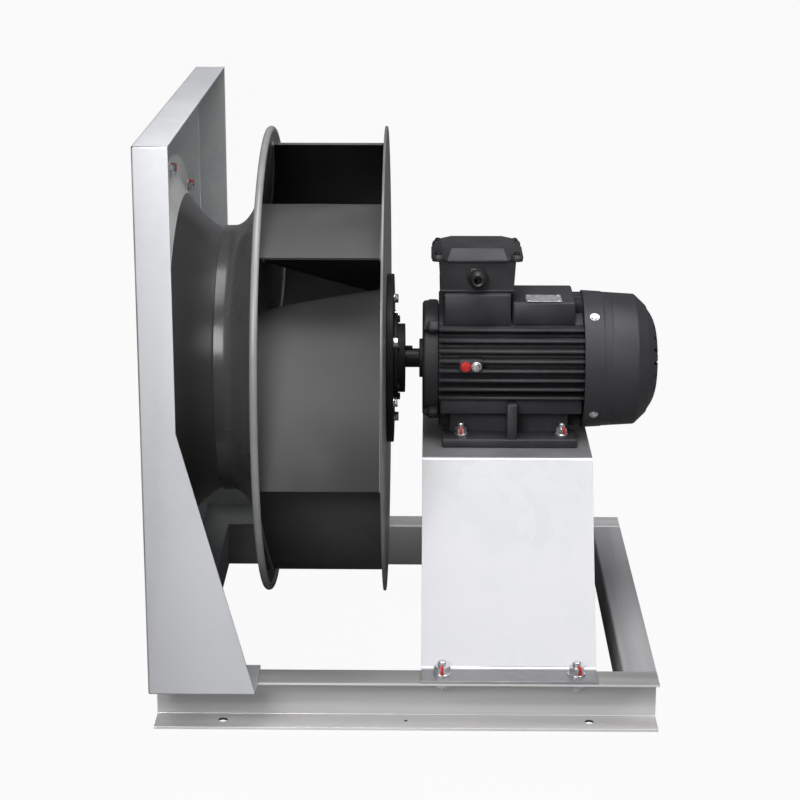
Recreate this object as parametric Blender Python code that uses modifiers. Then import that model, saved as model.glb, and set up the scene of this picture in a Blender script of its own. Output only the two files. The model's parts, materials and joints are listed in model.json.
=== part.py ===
"""Direct driven airfoil plug fan on a folded sheet base.

A square inlet panel with an inlet cone stands at one end of a channel base. A wheel with backward curved
airfoil blades turns behind the cone, carried by a hub on the shaft of a foot mounted motor, and a folded
stand lifts the motor to the height of the shaft axis.

Metres, +Z up. Stations run along +X from the outer face of the inlet panel towards the motor. The origin is
at the middle of the footprint, on the ground.
"""
import math

import bmesh
import bpy
from mathutils import Matrix, Vector

# Clearances and facets
GAP = 0.0003
BLADE_GAP = 0.0006
HOLE_CLEARANCE = 0.0005
OVERCUT = 0.003
MERGE = 0.00001
SMALL_SHARE = 0.001
WHEEL_SIDES = 40
CONE_SIDES = 32
MOTOR_SIDES = 28
INNER_SIDES = 20
GLAND_SIDES = 16
HOLE_SIDES = 8
SHANK_SIDES = 8
HEX_SIDES = 6

# Base frame of four folded channels, flanges outwards
BASE_LENGTH = 0.595
BASE_INSET = 0.036
RAIL_HEIGHT = 0.060
RAIL_FLANGE = 0.040
RAIL_SHEET = 0.003
ANCHOR_HOLE_RADIUS = 0.0055
ANCHOR_MARGIN = 0.080
PILOT_HOLE_RADIUS = 0.002

# Inlet panel, a pan that opens towards the motor
PANEL_SIDE = 0.642
PANEL_SHEET = 0.0025
PANEL_FLANGE = 0.040
PANEL_BEND = 0.002
GUSSET_DEPTH = 0.124
GUSSET_KNEE = 0.316
PANEL_FOOT = 0.080
AXIS_DROP = 0.005

# Inlet cone
CONE_SHEET = 0.002
CONE_FLANGE_RADIUS = 0.262
CONE_MOUTH_RADIUS = 0.228
CONE_THROAT_RADIUS = 0.1595
CONE_LENGTH = 0.0742
CONE_CURVE = 1.9
CONE_POINTS = 5

# Wheel
CONE_OVERLAP = 0.010
NECK_CLEARANCE = 0.0035
NECK_LENGTH = 0.011
SHROUD_SHEET = 0.0025
SHROUD_DEPTH = 0.048
SHROUD_POINTS = 6
BEAD_POINTS = 5
WHEEL_RADIUS = 0.2925
RIM_BEAD = 0.0045
OUTLET_WIDTH = 0.142
BACKPLATE_SHEET = 0.003
BLADE_COUNT = 6
BLADE_TIP_RADIUS = 0.270
BLADE_LEAD_BACK = 0.165
BLADE_LEAD_SHROUD = 0.183
BLADE_ANGLE = math.radians(23.5)
BLADE_THICKNESS = 0.015
BLADE_EDGE = 0.0025
AIRFOIL_SCALE = 5
AIRFOIL_TERMS = (0.2969, -0.126, -0.3516, 0.2843, -0.1015)
BLADE_PHASE = math.radians(40.5)
BLADE_POINTS = 8
BLADE_STATIONS = 4

# Hub
HUB_PLATE_RADIUS = 0.1065
HUB_PLATE_THICKNESS = 0.008
HUB_RING_RADIUS = 0.057
HUB_RING_THICKNESS = 0.0045
BOSS_RADIUS = 0.0435
BOSS_LENGTH = 0.0093
HUB_BOLTS = 6
HUB_BOLT_CIRCLE = 0.0775
HUB_BOLT_RADIUS = 0.003
HUB_BOLT_FLATS = 0.010

# Motor shaft, key and bearings
SHAFT_SHOW = 0.0178
SHAFT_RADIUS = 0.012
SHAFT_EXTENSION = 0.050
SHAFT_BODY_RADIUS = 0.016
KEY_WIDTH = 0.008
KEY_HEIGHT = 0.007
KEY_DEPTH = 0.004
KEY_LENGTH = 0.022
KEY_SETBACK = 0.001
BEARING_BORE = 0.0125
BEARING_SPLIT = 0.0185
BEARING_RADIUS = 0.026
BEARING_WIDTH = 0.015
BEARING_LIP = 0.002

# Motor housing, foot mounted with a 90 mm shaft height
SHAFT_HEIGHT = 0.090
NOSE_RADIUS = 0.0245
NOSE_LENGTH = 0.004
SHIELD_RADIUS = 0.073
SHIELD_DEPTH = 0.0201
SHIELD_WALL = 0.007
SPIGOT_LENGTH = 0.006
SPIGOT_WALL = 0.004
FRAME_LENGTH = 0.1794
FRAME_BORE = 0.0655
FRAME_BARREL = 0.0705
FIN_RADIUS = 0.0845
FIN_PITCH = 0.0125
FIN_THICKNESS = 0.004
SIDE_FINS = 8
TOP_FINS = 5
FOOT_SPACING_X = 0.125
FOOT_SPACING_Y = 0.140
FOOT_START = 0.0041
FOOT_LENGTH = 0.167
FOOT_HALF_WIDTH = 0.090
FOOT_INNER = 0.046
FOOT_THICKNESS = 0.011
FOOT_WALL = 0.010
FOOT_RIB = 0.0125
FOOT_BOLT_START = 0.0278

# Terminal box on its saddle
SADDLE_START = 0.0054
SADDLE_LENGTH = 0.0836
SADDLE_HALF_WIDTH = 0.050
SADDLE_TOP = 0.0955
PAD_LENGTH = 0.078
PAD_HALF_WIDTH = 0.046
PAD_TOP = 0.0845
PAD_SPACING = 0.002
BOX_LENGTH = 0.095
BOX_WIDTH = 0.088
BOX_HEIGHT = 0.039
BOX_WALL = 0.0035
BOX_TAPER = 0.95
LID_LENGTH = 0.114
LID_WIDTH = 0.096
LID_HEIGHT = 0.0155
LID_CORNER = 0.020
LID_CHAMFER = 0.0125
LID_RECESS = 0.006
LID_SEAT = 0.007
BLOCK_LENGTH = 0.050
BLOCK_WIDTH = 0.032
BLOCK_HEIGHT = 0.016
GLAND_RADIUS = 0.009
GLAND_FLATS = 0.024
GLAND_HEX = 0.006
GLAND_TAIL = 0.0065
GLAND_REACH = 0.022
GLAND_CAP_RADIUS = 0.0119
GLAND_CAP_START = 0.009
GLAND_BORE = 0.0045
GLAND_HEIGHT = 0.020
NAMEPLATE_LENGTH = 0.044
NAMEPLATE_WIDTH = 0.034
NAMEPLATE_SHEET = 0.001

# Earth screws on the side of the frame
EARTH_SCREWS = 2
EARTH_START = 0.033
EARTH_SPACING = 0.013
EARTH_HEIGHT = 0.0125
EARTH_HEAD_RADIUS = 0.005
EARTH_HEAD = 0.004
EARTH_BOSS_MARGIN = 0.008
EARTH_PROUD = 0.0005

# Fan cover and cooling fan
COVER_RADIUS = 0.0868
COVER_BARREL_RADIUS = 0.0828
COVER_FACE_RADIUS = 0.0668
COVER_BARREL = 0.066
COVER_CHAMFER = 0.0155
COVER_DOME = 0.013
DOME_POWER = 3
DOME_POINTS = 4
COVER_SHEET = 0.0015
GRILLE_SLOTS = 20
GRILLE_SLOT_WIDTH = 0.004
GRILLE_INNER = 0.018
GRILLE_OUTER = 0.056
FAN_SHIELD_DEPTH = 0.020
FAN_SHIELD_LIP = 0.008
FAN_SEAT_RADIUS = 0.011
FAN_HUB_RADIUS = 0.020
FAN_DISC_RADIUS = 0.045
FAN_DISC_THICKNESS = 0.004
FAN_RADIUS = 0.071
FAN_WIDTH = 0.028
FAN_BLADES = 6
FAN_BLADE_THICKNESS = 0.003
FAN_STANDOFF = 0.008
FAN_TAIL = 0.003

# Electrical packs
AIR_GAP = 0.0006
ROTOR_RADIUS = 0.0405
PACK_LENGTH = 0.115
WINDING_REACH = 0.020
WINDING_INNER = 0.046
WINDING_OUTER = 0.061
END_RING = 0.008
END_RING_INNER = 0.022

# Motor stand
STAND_LENGTH = 0.2074
STAND_MARGIN = 0.0241
STAND_SHEET = 0.003
STAND_BEND = 0.003
STAND_TOP_HALF = 0.127
STAND_WALL_SETBACK = 0.0045
STAND_BOLT_MARGIN = 0.0245
STAND_BOLT_RADIUS = 0.005
STAND_BOLT_FLATS = 0.017
FOOT_BOLT_RADIUS = 0.004
FOOT_BOLT_FLATS = 0.013
BOLT_HEAD = 0.62
WASHER_SHARE = 0.62
WASHER_SHEET = 0.002

# Stations along the shaft, from the outer face of the panel
CONE_FRONT = PANEL_SHEET + GAP
CONE_END = CONE_FRONT + CONE_LENGTH
SHROUD_LIP = CONE_END - CONE_OVERLAP
SHROUD_TURN = SHROUD_LIP + NECK_LENGTH
RIM_FACE = SHROUD_TURN + SHROUD_DEPTH
BACKPLATE_FRONT = RIM_FACE + OUTLET_WIDTH
BACKPLATE_BACK = BACKPLATE_FRONT + BACKPLATE_SHEET
HUB_PLATE_FRONT = BACKPLATE_BACK + GAP
HUB_PLATE_BACK = HUB_PLATE_FRONT + HUB_PLATE_THICKNESS
HUB_RING_FRONT = HUB_PLATE_BACK + GAP
HUB_RING_BACK = HUB_RING_FRONT + HUB_RING_THICKNESS
BOSS_END = HUB_RING_BACK + BOSS_LENGTH
NOSE_FRONT = BOSS_END + SHAFT_SHOW
SHAFT_END = NOSE_FRONT - SHAFT_EXTENSION
SHIELD_FACE = NOSE_FRONT + NOSE_LENGTH
FRAME_FRONT = SHIELD_FACE + SHIELD_DEPTH + GAP
FRAME_BACK = FRAME_FRONT + FRAME_LENGTH
REAR_SHIELD_FRONT = FRAME_BACK + GAP
REAR_SHIELD_BACK = REAR_SHIELD_FRONT + FAN_SHIELD_DEPTH
COVER_FRONT = FRAME_BACK + GAP
COVER_BARREL_END = COVER_FRONT + COVER_BARREL
COVER_FACE = COVER_BARREL_END + COVER_CHAMFER
COVER_END = COVER_FACE + COVER_DOME
FAN_FRONT = REAR_SHIELD_BACK + FAN_STANDOFF
FAN_BACK = FAN_FRONT + FAN_WIDTH
SHAFT_TAIL = FAN_BACK + FAN_TAIL
REAR_SHIELD_FACE = REAR_SHIELD_BACK - NOSE_LENGTH
BEARING_FRONT = SHIELD_FACE + BEARING_LIP
REAR_BEARING_BACK = REAR_SHIELD_FACE - BEARING_LIP
PACK_MIDDLE = (FRAME_FRONT + FRAME_BACK) / 2
FOOT_FRONT = FRAME_FRONT + FOOT_START
FOOT_BACK = FOOT_FRONT + FOOT_LENGTH
FOOT_BOLT_FRONT = FRAME_FRONT + FOOT_BOLT_START
STAND_FRONT = FOOT_FRONT - STAND_MARGIN
STAND_BACK = STAND_FRONT + STAND_LENGTH
SADDLE_FRONT = FRAME_FRONT + SADDLE_START
SADDLE_BACK = SADDLE_FRONT + SADDLE_LENGTH
SADDLE_MIDDLE = (SADDLE_FRONT + SADDLE_BACK) / 2
PAD_FRONT = SADDLE_BACK + PAD_SPACING
PAD_BACK = PAD_FRONT + PAD_LENGTH
OVERALL = max(BASE_LENGTH, COVER_END)

# Heights and radii that follow from the sizes above
PANEL_BOTTOM = RAIL_HEIGHT + GAP
SHAFT_Z = PANEL_BOTTOM + PANEL_SIDE / 2 - AXIS_DROP
STAND_BOTTOM = RAIL_HEIGHT + GAP
STAND_TOP = SHAFT_Z - SHAFT_HEIGHT - GAP
BASE_HALF = PANEL_SIDE / 2 - BASE_INSET
WEB_HALF = BASE_HALF - RAIL_FLANGE
STAND_BOLT_Y = WEB_HALF + RAIL_FLANGE / 2
STAND_WALL_HALF = WEB_HALF + STAND_WALL_SETBACK
NECK_RADIUS = CONE_THROAT_RADIUS + CONE_SHEET + NECK_CLEARANCE
SHROUD_RISE = WHEEL_RADIUS - NECK_RADIUS
STATOR_BORE = ROTOR_RADIUS + AIR_GAP
STATOR_RADIUS = FRAME_BORE - GAP
EARTH_REACH = FIN_RADIUS + EARTH_PROUD
COVER_BORE = COVER_RADIUS - COVER_SHEET
BOX_SLOPE = BOX_WIDTH / 2 * (1 - BOX_TAPER) / BOX_HEIGHT
COVER_SLOPE = (COVER_RADIUS - COVER_BARREL_RADIUS) / COVER_BARREL
BOX_BOTTOM = SADDLE_TOP + GAP
BOX_TOP = BOX_BOTTOM + BOX_HEIGHT
LID_BOTTOM = BOX_TOP + GAP


def station(value):
    """World X of a distance from the outer face of the panel."""
    return value - OVERALL / 2


def clear_scene():
    """Remove what the file already holds."""
    for item in list(bpy.data.objects):
        bpy.data.objects.remove(item)


def new_collection(name):
    """Add a collection to the scene."""
    group = bpy.data.collections.new(name)
    bpy.context.scene.collection.children.link(group)
    return group


def finish(name, colour, roughness, metallic):
    """Make a plain Principled material."""
    material = bpy.data.materials.new(name)
    material.use_nodes = True
    shader = material.node_tree.nodes["Principled BSDF"]
    shader.inputs["Base Color"].default_value = (*colour, 1.0)
    shader.inputs["Roughness"].default_value = roughness
    shader.inputs["Metallic"].default_value = metallic
    return material


clear_scene()
PARTS = new_collection("airfoil_plug_fan")
CUTTERS = new_collection("cutters")

GALVANISED = ("galvanised", (0.80, 0.81, 0.83), 0.45, 0.6)
BASE_STEEL = ("base_steel", (0.42, 0.41, 0.41), 0.5, 0.6)
CONE_PAINT = ("cone_paint", (0.09, 0.09, 0.095), 0.3, 0.0)
WHEEL_PAINT = ("wheel_paint", (0.13, 0.13, 0.13), 0.4, 0.0)
BLACK_STEEL = ("black_steel", (0.01, 0.01, 0.01), 0.5, 0.2)
MOTOR_PAINT = ("motor_paint", (0.03, 0.03, 0.033), 0.45, 0.0)
BRIGHT_STEEL = ("bright_steel", (0.60, 0.60, 0.60), 0.35, 1.0)
ZINC = ("zinc", (0.65, 0.65, 0.67), 0.35, 1.0)
RED_MARK = ("red_mark", (0.45, 0.02, 0.02), 0.5, 0.0)
COPPER = ("copper", (0.55, 0.25, 0.12), 0.5, 0.6)
BLACK_PLASTIC = ("black_plastic", (0.02, 0.02, 0.02), 0.5, 0.0)
BARE_PLATE = ("bare_plate", (0.55, 0.55, 0.56), 0.4, 0.8)


def link(name, data, paint, group=None):
    """Give a mesh its object, its own material and its collection."""
    item = bpy.data.objects.new(name, data)
    (group or PARTS).objects.link(item)
    if paint is not None:
        label, colour, roughness, metallic = paint
        item.data.materials.clear()
        item.data.materials.append(finish(f"{name}_{label}", colour, roughness, metallic))
    return item


def as_cutter(item):
    """Hide a helper body, which only shapes other pieces."""
    item.hide_render = True
    item.display_type = "WIRE"
    for group in list(item.users_collection):
        group.objects.unlink(item)
    CUTTERS.objects.link(item)
    return item


def boolean(target, tool, operation):
    """Cut a tool from a piece or join it to the piece."""
    step = target.modifiers.new(operation.lower(), "BOOLEAN")
    step.object = tool
    step.operation = operation
    step.solver = "EXACT"
    return target


def cut(target, tool):
    """Take a helper body away from a piece."""
    return boolean(target, as_cutter(tool), "DIFFERENCE")


def join(target, tool):
    """Add a helper body to a piece."""
    return boolean(target, as_cutter(tool), "UNION")


def bevel(item, width, segments=2, angle=math.radians(30)):
    """Round the edges that turn by more than an angle."""
    step = item.modifiers.new("bevel", "BEVEL")
    step.width = width
    step.segments = segments
    step.limit_method = "ANGLE"
    step.angle_limit = angle
    return item


def smooth(item, angle=math.radians(35)):
    """Shade a round piece smooth, with its real edges kept sharp."""
    item.data.shade_smooth()
    item.data.set_sharp_from_angle(angle=angle)
    return item


def evaluated(item):
    """Return the mesh that an object shows with its modifiers, and remove the object."""
    bpy.context.view_layer.update()
    graph = bpy.context.evaluated_depsgraph_get()
    data = bpy.data.meshes.new_from_object(item.evaluated_get(graph))
    tools = [step.object for step in item.modifiers if step.type == "BOOLEAN"]
    for used in [item, *tools]:
        bpy.data.objects.remove(used)
    return data


def box(name, low, high, paint=None):
    """A box between two corners."""
    low, high = Vector(low), Vector(high)
    form = bmesh.new()
    bmesh.ops.create_cube(form, size=1.0)
    bmesh.ops.scale(form, vec=high - low, verts=form.verts)
    data = bpy.data.meshes.new(name)
    form.to_mesh(data)
    form.free()
    item = link(name, data, paint)
    item.location = (low + high) / 2
    return item


def prism(form, radius, sides, low, high, turn=Matrix.Identity(4)):
    """Add an upright prism or cylinder to a form, then turn it into place."""
    middle = Matrix.Translation((0, 0, (low + high) / 2))
    bmesh.ops.create_cone(form, cap_ends=True, segments=sides, radius1=radius, radius2=radius,
                          depth=high - low, matrix=turn @ middle)


def rods(name, places, radius, low, high, sides=HOLE_SIDES):
    """Separate parallel cylinders, one for each place, as a helper body."""
    form = bmesh.new()
    for place in places:
        prism(form, radius, sides, low, high, Matrix(place))
    data = bpy.data.meshes.new(name)
    form.to_mesh(data)
    form.free()
    return link(name, data, None)


def upright(x, y, z=0.0):
    """Place for something that stands along +Z."""
    return Matrix.Translation((x, y, z))


def along_shaft(radius, angle, x=0.0):
    """Place for something parallel to the shaft, at an angle up from the -Y side."""
    spot = Vector((x, -radius * math.cos(angle), SHAFT_Z + radius * math.sin(angle)))
    return Matrix.Translation(spot) @ Matrix.Rotation(math.pi / 2, 4, "Y")


def ring_angles(count, start=0.0):
    """Equal angles round a circle."""
    return [start + 2 * math.pi * index / count for index in range(count)]


def signed_area(outline):
    """Area of a closed outline, positive when it runs anticlockwise."""
    pairs = zip(outline, outline[1:] + outline[:1])
    return sum(a[0] * b[1] - b[0] * a[1] for a, b in pairs) / 2


def revolve(name, points, edges, paint, sides):
    """Sweep joined (station, radius) points once round the shaft axis."""
    data = bpy.data.meshes.new(name)
    data.from_pydata([(radius, 0.0, along) for along, radius in points], edges, [])
    item = link(name, data, paint)
    screw = item.modifiers.new("turn", "SCREW")
    screw.axis = "Z"
    screw.angle = 2 * math.pi
    screw.steps = sides
    screw.render_steps = sides
    screw.use_smooth_shade = True
    screw.use_merge_vertices = True
    screw.merge_threshold = MERGE
    item.rotation_euler = (0.0, math.pi / 2, 0.0)
    item.location = (station(0.0), 0.0, SHAFT_Z)
    return item


def chain(points):
    """Edges that join a row of points in order."""
    return [(index, index + 1) for index in range(len(points) - 1)]


def turned(name, outline, paint, sides=MOTOR_SIDES):
    """Turn an outline of (station, radius) points about the shaft axis.

    An outline that starts and ends on the axis gives a solid piece. Any other is closed into a ring.
    """
    points = list(outline)
    if signed_area(points) < 0:
        points.reverse()
    edges = chain(points)
    solid = abs(points[0][1]) < GAP and abs(points[-1][1]) < GAP
    if not solid:
        edges.append((len(points) - 1, 0))
    return revolve(name, points, edges, paint, sides)


def folded(name, outline, low, high, sheet, bend, across, paint, inward=-1.0):
    """Fold a sheet along an outline and run it between two ends.

    The outline lies in the plane of Z and one level axis, and the sheet runs along the other level axis.
    """
    form = bmesh.new()
    if across == "X":
        points = [form.verts.new((low, level, up)) for level, up in outline]
        reach = (high - low, 0.0, 0.0)
    else:
        points = [form.verts.new((level, low, up)) for level, up in outline]
        reach = (0.0, high - low, 0.0)
    edges = [form.edges.new(pair) for pair in zip(points, points[1:])]
    swept = bmesh.ops.extrude_edge_only(form, edges=edges)
    moved = [part for part in swept["geom"] if isinstance(part, bmesh.types.BMVert)]
    bmesh.ops.translate(form, vec=reach, verts=moved)
    data = bpy.data.meshes.new(name)
    form.to_mesh(data)
    form.free()
    item = link(name, data, paint)
    bevel(item, bend)
    wall = item.modifiers.new("sheet", "SOLIDIFY")
    wall.thickness = sheet
    wall.offset = inward
    wall.use_even_offset = True
    return item


def channel(name, web, out, low, high, across):
    """One folded channel of the base, with its web at a level and its flanges outwards."""
    tip = web + out * RAIL_FLANGE
    outline = [(tip, RAIL_HEIGHT), (web, RAIL_HEIGHT), (web, 0.0), (tip, 0.0)]
    inward = out if across == "X" else -out
    return folded(name, outline, low, high, RAIL_SHEET, RAIL_SHEET, across, BASE_STEEL, inward)


def side_rail(name, out):
    """A full length channel with anchor holes below and stand bolt holes above."""
    item = channel(name, out * WEB_HALF, out, station(0.0), station(BASE_LENGTH), "X")
    level = out * STAND_BOLT_Y
    low, high = -OVERCUT, RAIL_SHEET + OVERCUT
    anchors = [upright(station(spot), level) for spot in (ANCHOR_MARGIN, BASE_LENGTH - ANCHOR_MARGIN)]
    cut(item, rods(f"{name}_anchor_holes", anchors, ANCHOR_HOLE_RADIUS, low, high))
    pilot = [upright(station(BASE_LENGTH / 2), level)]
    cut(item, rods(f"{name}_pilot_hole", pilot, PILOT_HOLE_RADIUS, low, high))
    places = [upright(x, level, RAIL_HEIGHT - RAIL_SHEET) for x in stand_bolt_stations()]
    cut(item, rods(f"{name}_bolt_holes", places, STAND_BOLT_RADIUS + HOLE_CLEARANCE, low, high))
    return item


def stand_bolt_stations():
    """World X of the bolts that hold the motor stand to the base."""
    return [station(STAND_FRONT + STAND_BOLT_MARGIN), station(STAND_BACK - STAND_BOLT_MARGIN)]


def foot_bolt_stations():
    """World X of the bolts that hold the motor to its stand."""
    return [station(FOOT_BOLT_FRONT), station(FOOT_BOLT_FRONT + FOOT_SPACING_X)]


def build_base():
    """Two side rails and two end rails between their webs."""
    side_rail("base_rail_near", -1)
    side_rail("base_rail_far", 1)
    reach = WEB_HALF - GAP
    channel("base_rail_inlet_end", station(RAIL_FLANGE), -1, -reach, reach, "Y")
    channel("base_rail_motor_end", station(BASE_LENGTH - RAIL_FLANGE), 1, -reach, reach, "Y")


def build_inlet_panel():
    """The square pan with its gusset sides and the feet that stand on the rails."""
    half, low, high = PANEL_SIDE / 2, PANEL_BOTTOM, PANEL_BOTTOM + PANEL_SIDE
    foot = half - PANEL_FOOT
    form = bmesh.new()
    face, lip, knee = station(0.0), station(PANEL_FLANGE), station(GUSSET_DEPTH)

    def corner(x, y, z):
        return form.verts.new((x, y, z))

    web = {(side, up): corner(face, side * half, up) for side in (-1, 1) for up in (low, high)}
    top = {side: corner(lip, side * half, high) for side in (-1, 1)}
    bend = {side: corner(lip, side * half, low + GUSSET_KNEE) for side in (-1, 1)}
    toe = {side: corner(knee, side * half, low) for side in (-1, 1)}
    toe_inner = {side: corner(knee, side * foot, low) for side in (-1, 1)}
    heel = {side: corner(lip, side * foot, low) for side in (-1, 1)}
    form.faces.new([web[-1, low], web[1, low], web[1, high], web[-1, high]])
    form.faces.new([web[-1, high], web[1, high], top[1], top[-1]])
    for side in (-1, 1):
        form.faces.new([web[side, low], web[side, high], top[side], bend[side], toe[side]])
    sole = [web[-1, low], toe[-1], toe_inner[-1], heel[-1], heel[1], toe_inner[1], toe[1], web[1, low]]
    form.faces.new(sole)
    bmesh.ops.recalc_face_normals(form, faces=form.faces)
    front = next(part for part in form.faces if all(abs(v.co.x - face) < GAP for v in part.verts))
    front.normal_update()
    if front.normal.x > 0:
        bmesh.ops.reverse_faces(form, faces=form.faces)
    data = bpy.data.meshes.new("inlet_panel")
    form.to_mesh(data)
    form.free()
    item = link("inlet_panel", data, GALVANISED)
    bevel(item, PANEL_BEND)
    wall = item.modifiers.new("sheet", "SOLIDIFY")
    wall.thickness = PANEL_SHEET
    wall.offset = -1.0
    wall.use_even_offset = True
    mouth = rods("panel_mouth", [along_shaft(0.0, 0.0, face)], CONE_MOUTH_RADIUS,
                 -OVERCUT, PANEL_SHEET + OVERCUT, CONE_SIDES)
    return cut(item, mouth)


def cone_radius(along):
    """Flow side radius of the inlet cone at a share of its length."""
    return CONE_THROAT_RADIUS + (CONE_MOUTH_RADIUS - CONE_THROAT_RADIUS) * (1 - along) ** CONE_CURVE


def beside(points, distance):
    """Row of points at a distance to the left of an outline, with its corners mitred."""
    runs = [(Vector(b) - Vector(a)).normalized() for a, b in zip(points, points[1:])]
    row = []
    for point, before, after in zip(points, [runs[0], *runs], [*runs, runs[-1]]):
        left, turned_left = Vector((-before.y, before.x)), Vector((-after.y, after.x))
        miter = (left + turned_left).normalized()
        row.append(tuple(Vector(point) + miter * distance / miter.dot(left)))
    return row


def build_inlet_cone():
    """The spun inlet cone, a thin wall that narrows from its flange to the throat."""
    flow = [(CONE_FRONT, CONE_FLANGE_RADIUS)]
    for index in range(CONE_POINTS):
        share = index / (CONE_POINTS - 1)
        flow.append((CONE_FRONT + CONE_LENGTH * share, cone_radius(share)))
    outline = flow + beside(flow, CONE_SHEET)[::-1]
    return smooth(turned("inlet_cone", outline, CONE_PAINT, CONE_SIDES))


def shroud_inner(radius):
    """Station of the shroud's blade side at a radius."""
    share = min(max((WHEEL_RADIUS - radius) / SHROUD_RISE, 0.0), 1.0)
    return SHROUD_TURN + SHROUD_DEPTH * math.sqrt(1 - share * share)


def build_shroud():
    """The spun shroud: a straight neck, a quarter ellipse and a rolled rim."""
    last = math.acos(2 * RIM_BEAD / SHROUD_RISE)
    inner = [(SHROUD_LIP, NECK_RADIUS)]
    outer = [(SHROUD_LIP, NECK_RADIUS + SHROUD_SHEET)]
    for index in range(SHROUD_POINTS):
        turn = last * index / (SHROUD_POINTS - 1)
        x = SHROUD_TURN + SHROUD_DEPTH * math.sin(turn)
        radius = WHEEL_RADIUS - SHROUD_RISE * math.cos(turn)
        out = Vector((-math.sin(turn) / SHROUD_DEPTH, math.cos(turn) / SHROUD_RISE)).normalized()
        inner.append((x, radius))
        outer.append((x + SHROUD_SHEET * out.x, radius + SHROUD_SHEET * out.y))
    middle = RIM_FACE - SHROUD_SHEET / 2
    open_half = math.asin(SHROUD_SHEET / 2 / RIM_BEAD)
    bead = []
    for index in range(BEAD_POINTS):
        angle = -math.pi / 2 + open_half + 2 * (math.pi - open_half) * index / (BEAD_POINTS - 1)
        radius = WHEEL_RADIUS - RIM_BEAD + RIM_BEAD * math.sin(angle)
        bead.append((middle + RIM_BEAD * math.cos(angle), radius))
    return smooth(turned("wheel_shroud", inner + bead + outer[::-1], WHEEL_PAINT, WHEEL_SIDES))


def blade_thickness(share):
    """Half thickness of the airfoil at a share of its chord, from the nose to the tail."""
    root_term, *power_terms = AIRFOIL_TERMS
    curve = root_term * math.sqrt(share)
    for power, term in enumerate(power_terms, start=1):
        curve += term * share**power
    return AIRFOIL_SCALE * BLADE_THICKNESS * curve + BLADE_EDGE / 2 * share


def blade_line(share, lead):
    """Point (r, angle) of the blade's middle line, a logarithmic spiral from its nose to the tip."""
    radius = lead * (BLADE_TIP_RADIUS / lead) ** share
    return radius, math.log(BLADE_TIP_RADIUS / radius) / math.tan(BLADE_ANGLE)


def blade_section(lead):
    """Airfoil section round the spiral, as points across the shaft seen from the panel side."""
    def on_line(share):
        radius, angle = blade_line(share, lead)
        return Vector((-radius * math.cos(angle), radius * math.sin(angle)))

    sides = []
    for side in (1, -1):
        row = []
        for index in range(BLADE_POINTS + 1):
            share = (1 - math.cos(math.pi * index / BLADE_POINTS)) / 2
            ahead = on_line(min(share + SMALL_SHARE, 1.0)) - on_line(max(share - SMALL_SHARE, 0.0))
            across = Vector((-ahead.y, ahead.x)).normalized()
            row.append(on_line(share) + side * blade_thickness(share) * across)
        sides.append(row)
    return sides


def blade_mesh():
    """Loft the blade between the backplate and the curved shroud."""
    form = bmesh.new()
    back = BACKPLATE_FRONT - GAP
    rings = []
    for step in range(BLADE_STATIONS):
        span = step / (BLADE_STATIONS - 1)
        lead = BLADE_LEAD_BACK + (BLADE_LEAD_SHROUD - BLADE_LEAD_BACK) * span
        upper, lower = blade_section(lead)
        ring = []
        for point in upper[::-1] + lower[1:]:
            front = shroud_inner(point.length) + BLADE_GAP
            ring.append(form.verts.new((back + (front - back) * span, point.x, point.y)))
        rings.append(ring)
    for low, high in zip(rings, rings[1:]):
        for index, corner in enumerate(low):
            following = (index + 1) % len(low)
            form.faces.new([corner, low[following], high[following], high[index]])
    for ring in (rings[0], rings[-1]):
        for index in range(BLADE_POINTS):
            quad = [ring[index], ring[index + 1], ring[-2 - index], ring[-1 - index]]
            form.faces.new(list(dict.fromkeys(quad)))
    bmesh.ops.recalc_face_normals(form, faces=form.faces)
    data = bpy.data.meshes.new("blade")
    form.to_mesh(data)
    form.free()
    return data


def build_blades(rotor):
    """Equal blades round the shaft."""
    shape = blade_mesh()
    for index, angle in enumerate(ring_angles(BLADE_COUNT, BLADE_PHASE)):
        item = link(f"blade_{index + 1}", shape.copy(), WHEEL_PAINT)
        item.location = (station(0.0), 0.0, SHAFT_Z)
        item.rotation_euler = (-angle, 0.0, 0.0)
        smooth(item)
        carry(item, rotor)


def carry(item, parent):
    """Parent an object and leave it where it is."""
    bpy.context.view_layer.update()
    item.parent = parent
    item.matrix_parent_inverse = parent.matrix_world.inverted()
    return item


def hub_bolt_places(x=0.0):
    """Places of the bolts through the hub plate."""
    return [along_shaft(HUB_BOLT_CIRCLE, angle, x) for angle in ring_angles(HUB_BOLTS, math.pi / 2)]


def build_wheel(rotor):
    """Shroud, backplate, hub plate and hub."""
    carry(build_shroud(), rotor)
    places = hub_bolt_places(station(BACKPLATE_FRONT))
    reach = HUB_PLATE_BACK - BACKPLATE_FRONT + OVERCUT
    for name, low, high, radius, paint in (
            ("wheel_backplate", BACKPLATE_FRONT, BACKPLATE_BACK, WHEEL_RADIUS, WHEEL_PAINT),
            ("hub_plate", HUB_PLATE_FRONT, HUB_PLATE_BACK, HUB_PLATE_RADIUS, BLACK_STEEL)):
        plate = turned(name, rectangle(low, high, SHAFT_RADIUS + HOLE_CLEARANCE, radius), paint, WHEEL_SIDES)
        cut(plate, rods(f"{name}_holes", places, HUB_BOLT_RADIUS + HOLE_CLEARANCE, -OVERCUT, reach))
        carry(plate, rotor)
    bore = SHAFT_RADIUS + GAP
    hub = turned("hub_boss", [(HUB_RING_FRONT, bore), (HUB_RING_FRONT, HUB_RING_RADIUS),
                              (HUB_RING_BACK, HUB_RING_RADIUS), (HUB_RING_BACK, BOSS_RADIUS),
                              (BOSS_END, BOSS_RADIUS), (BOSS_END, bore)], BLACK_STEEL)
    carry(hub, rotor)
    build_blades(rotor)


def rectangle(low, high, inner, outer):
    """Outline of a plain ring."""
    return [(low, inner), (low, outer), (high, outer), (high, inner)]


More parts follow.
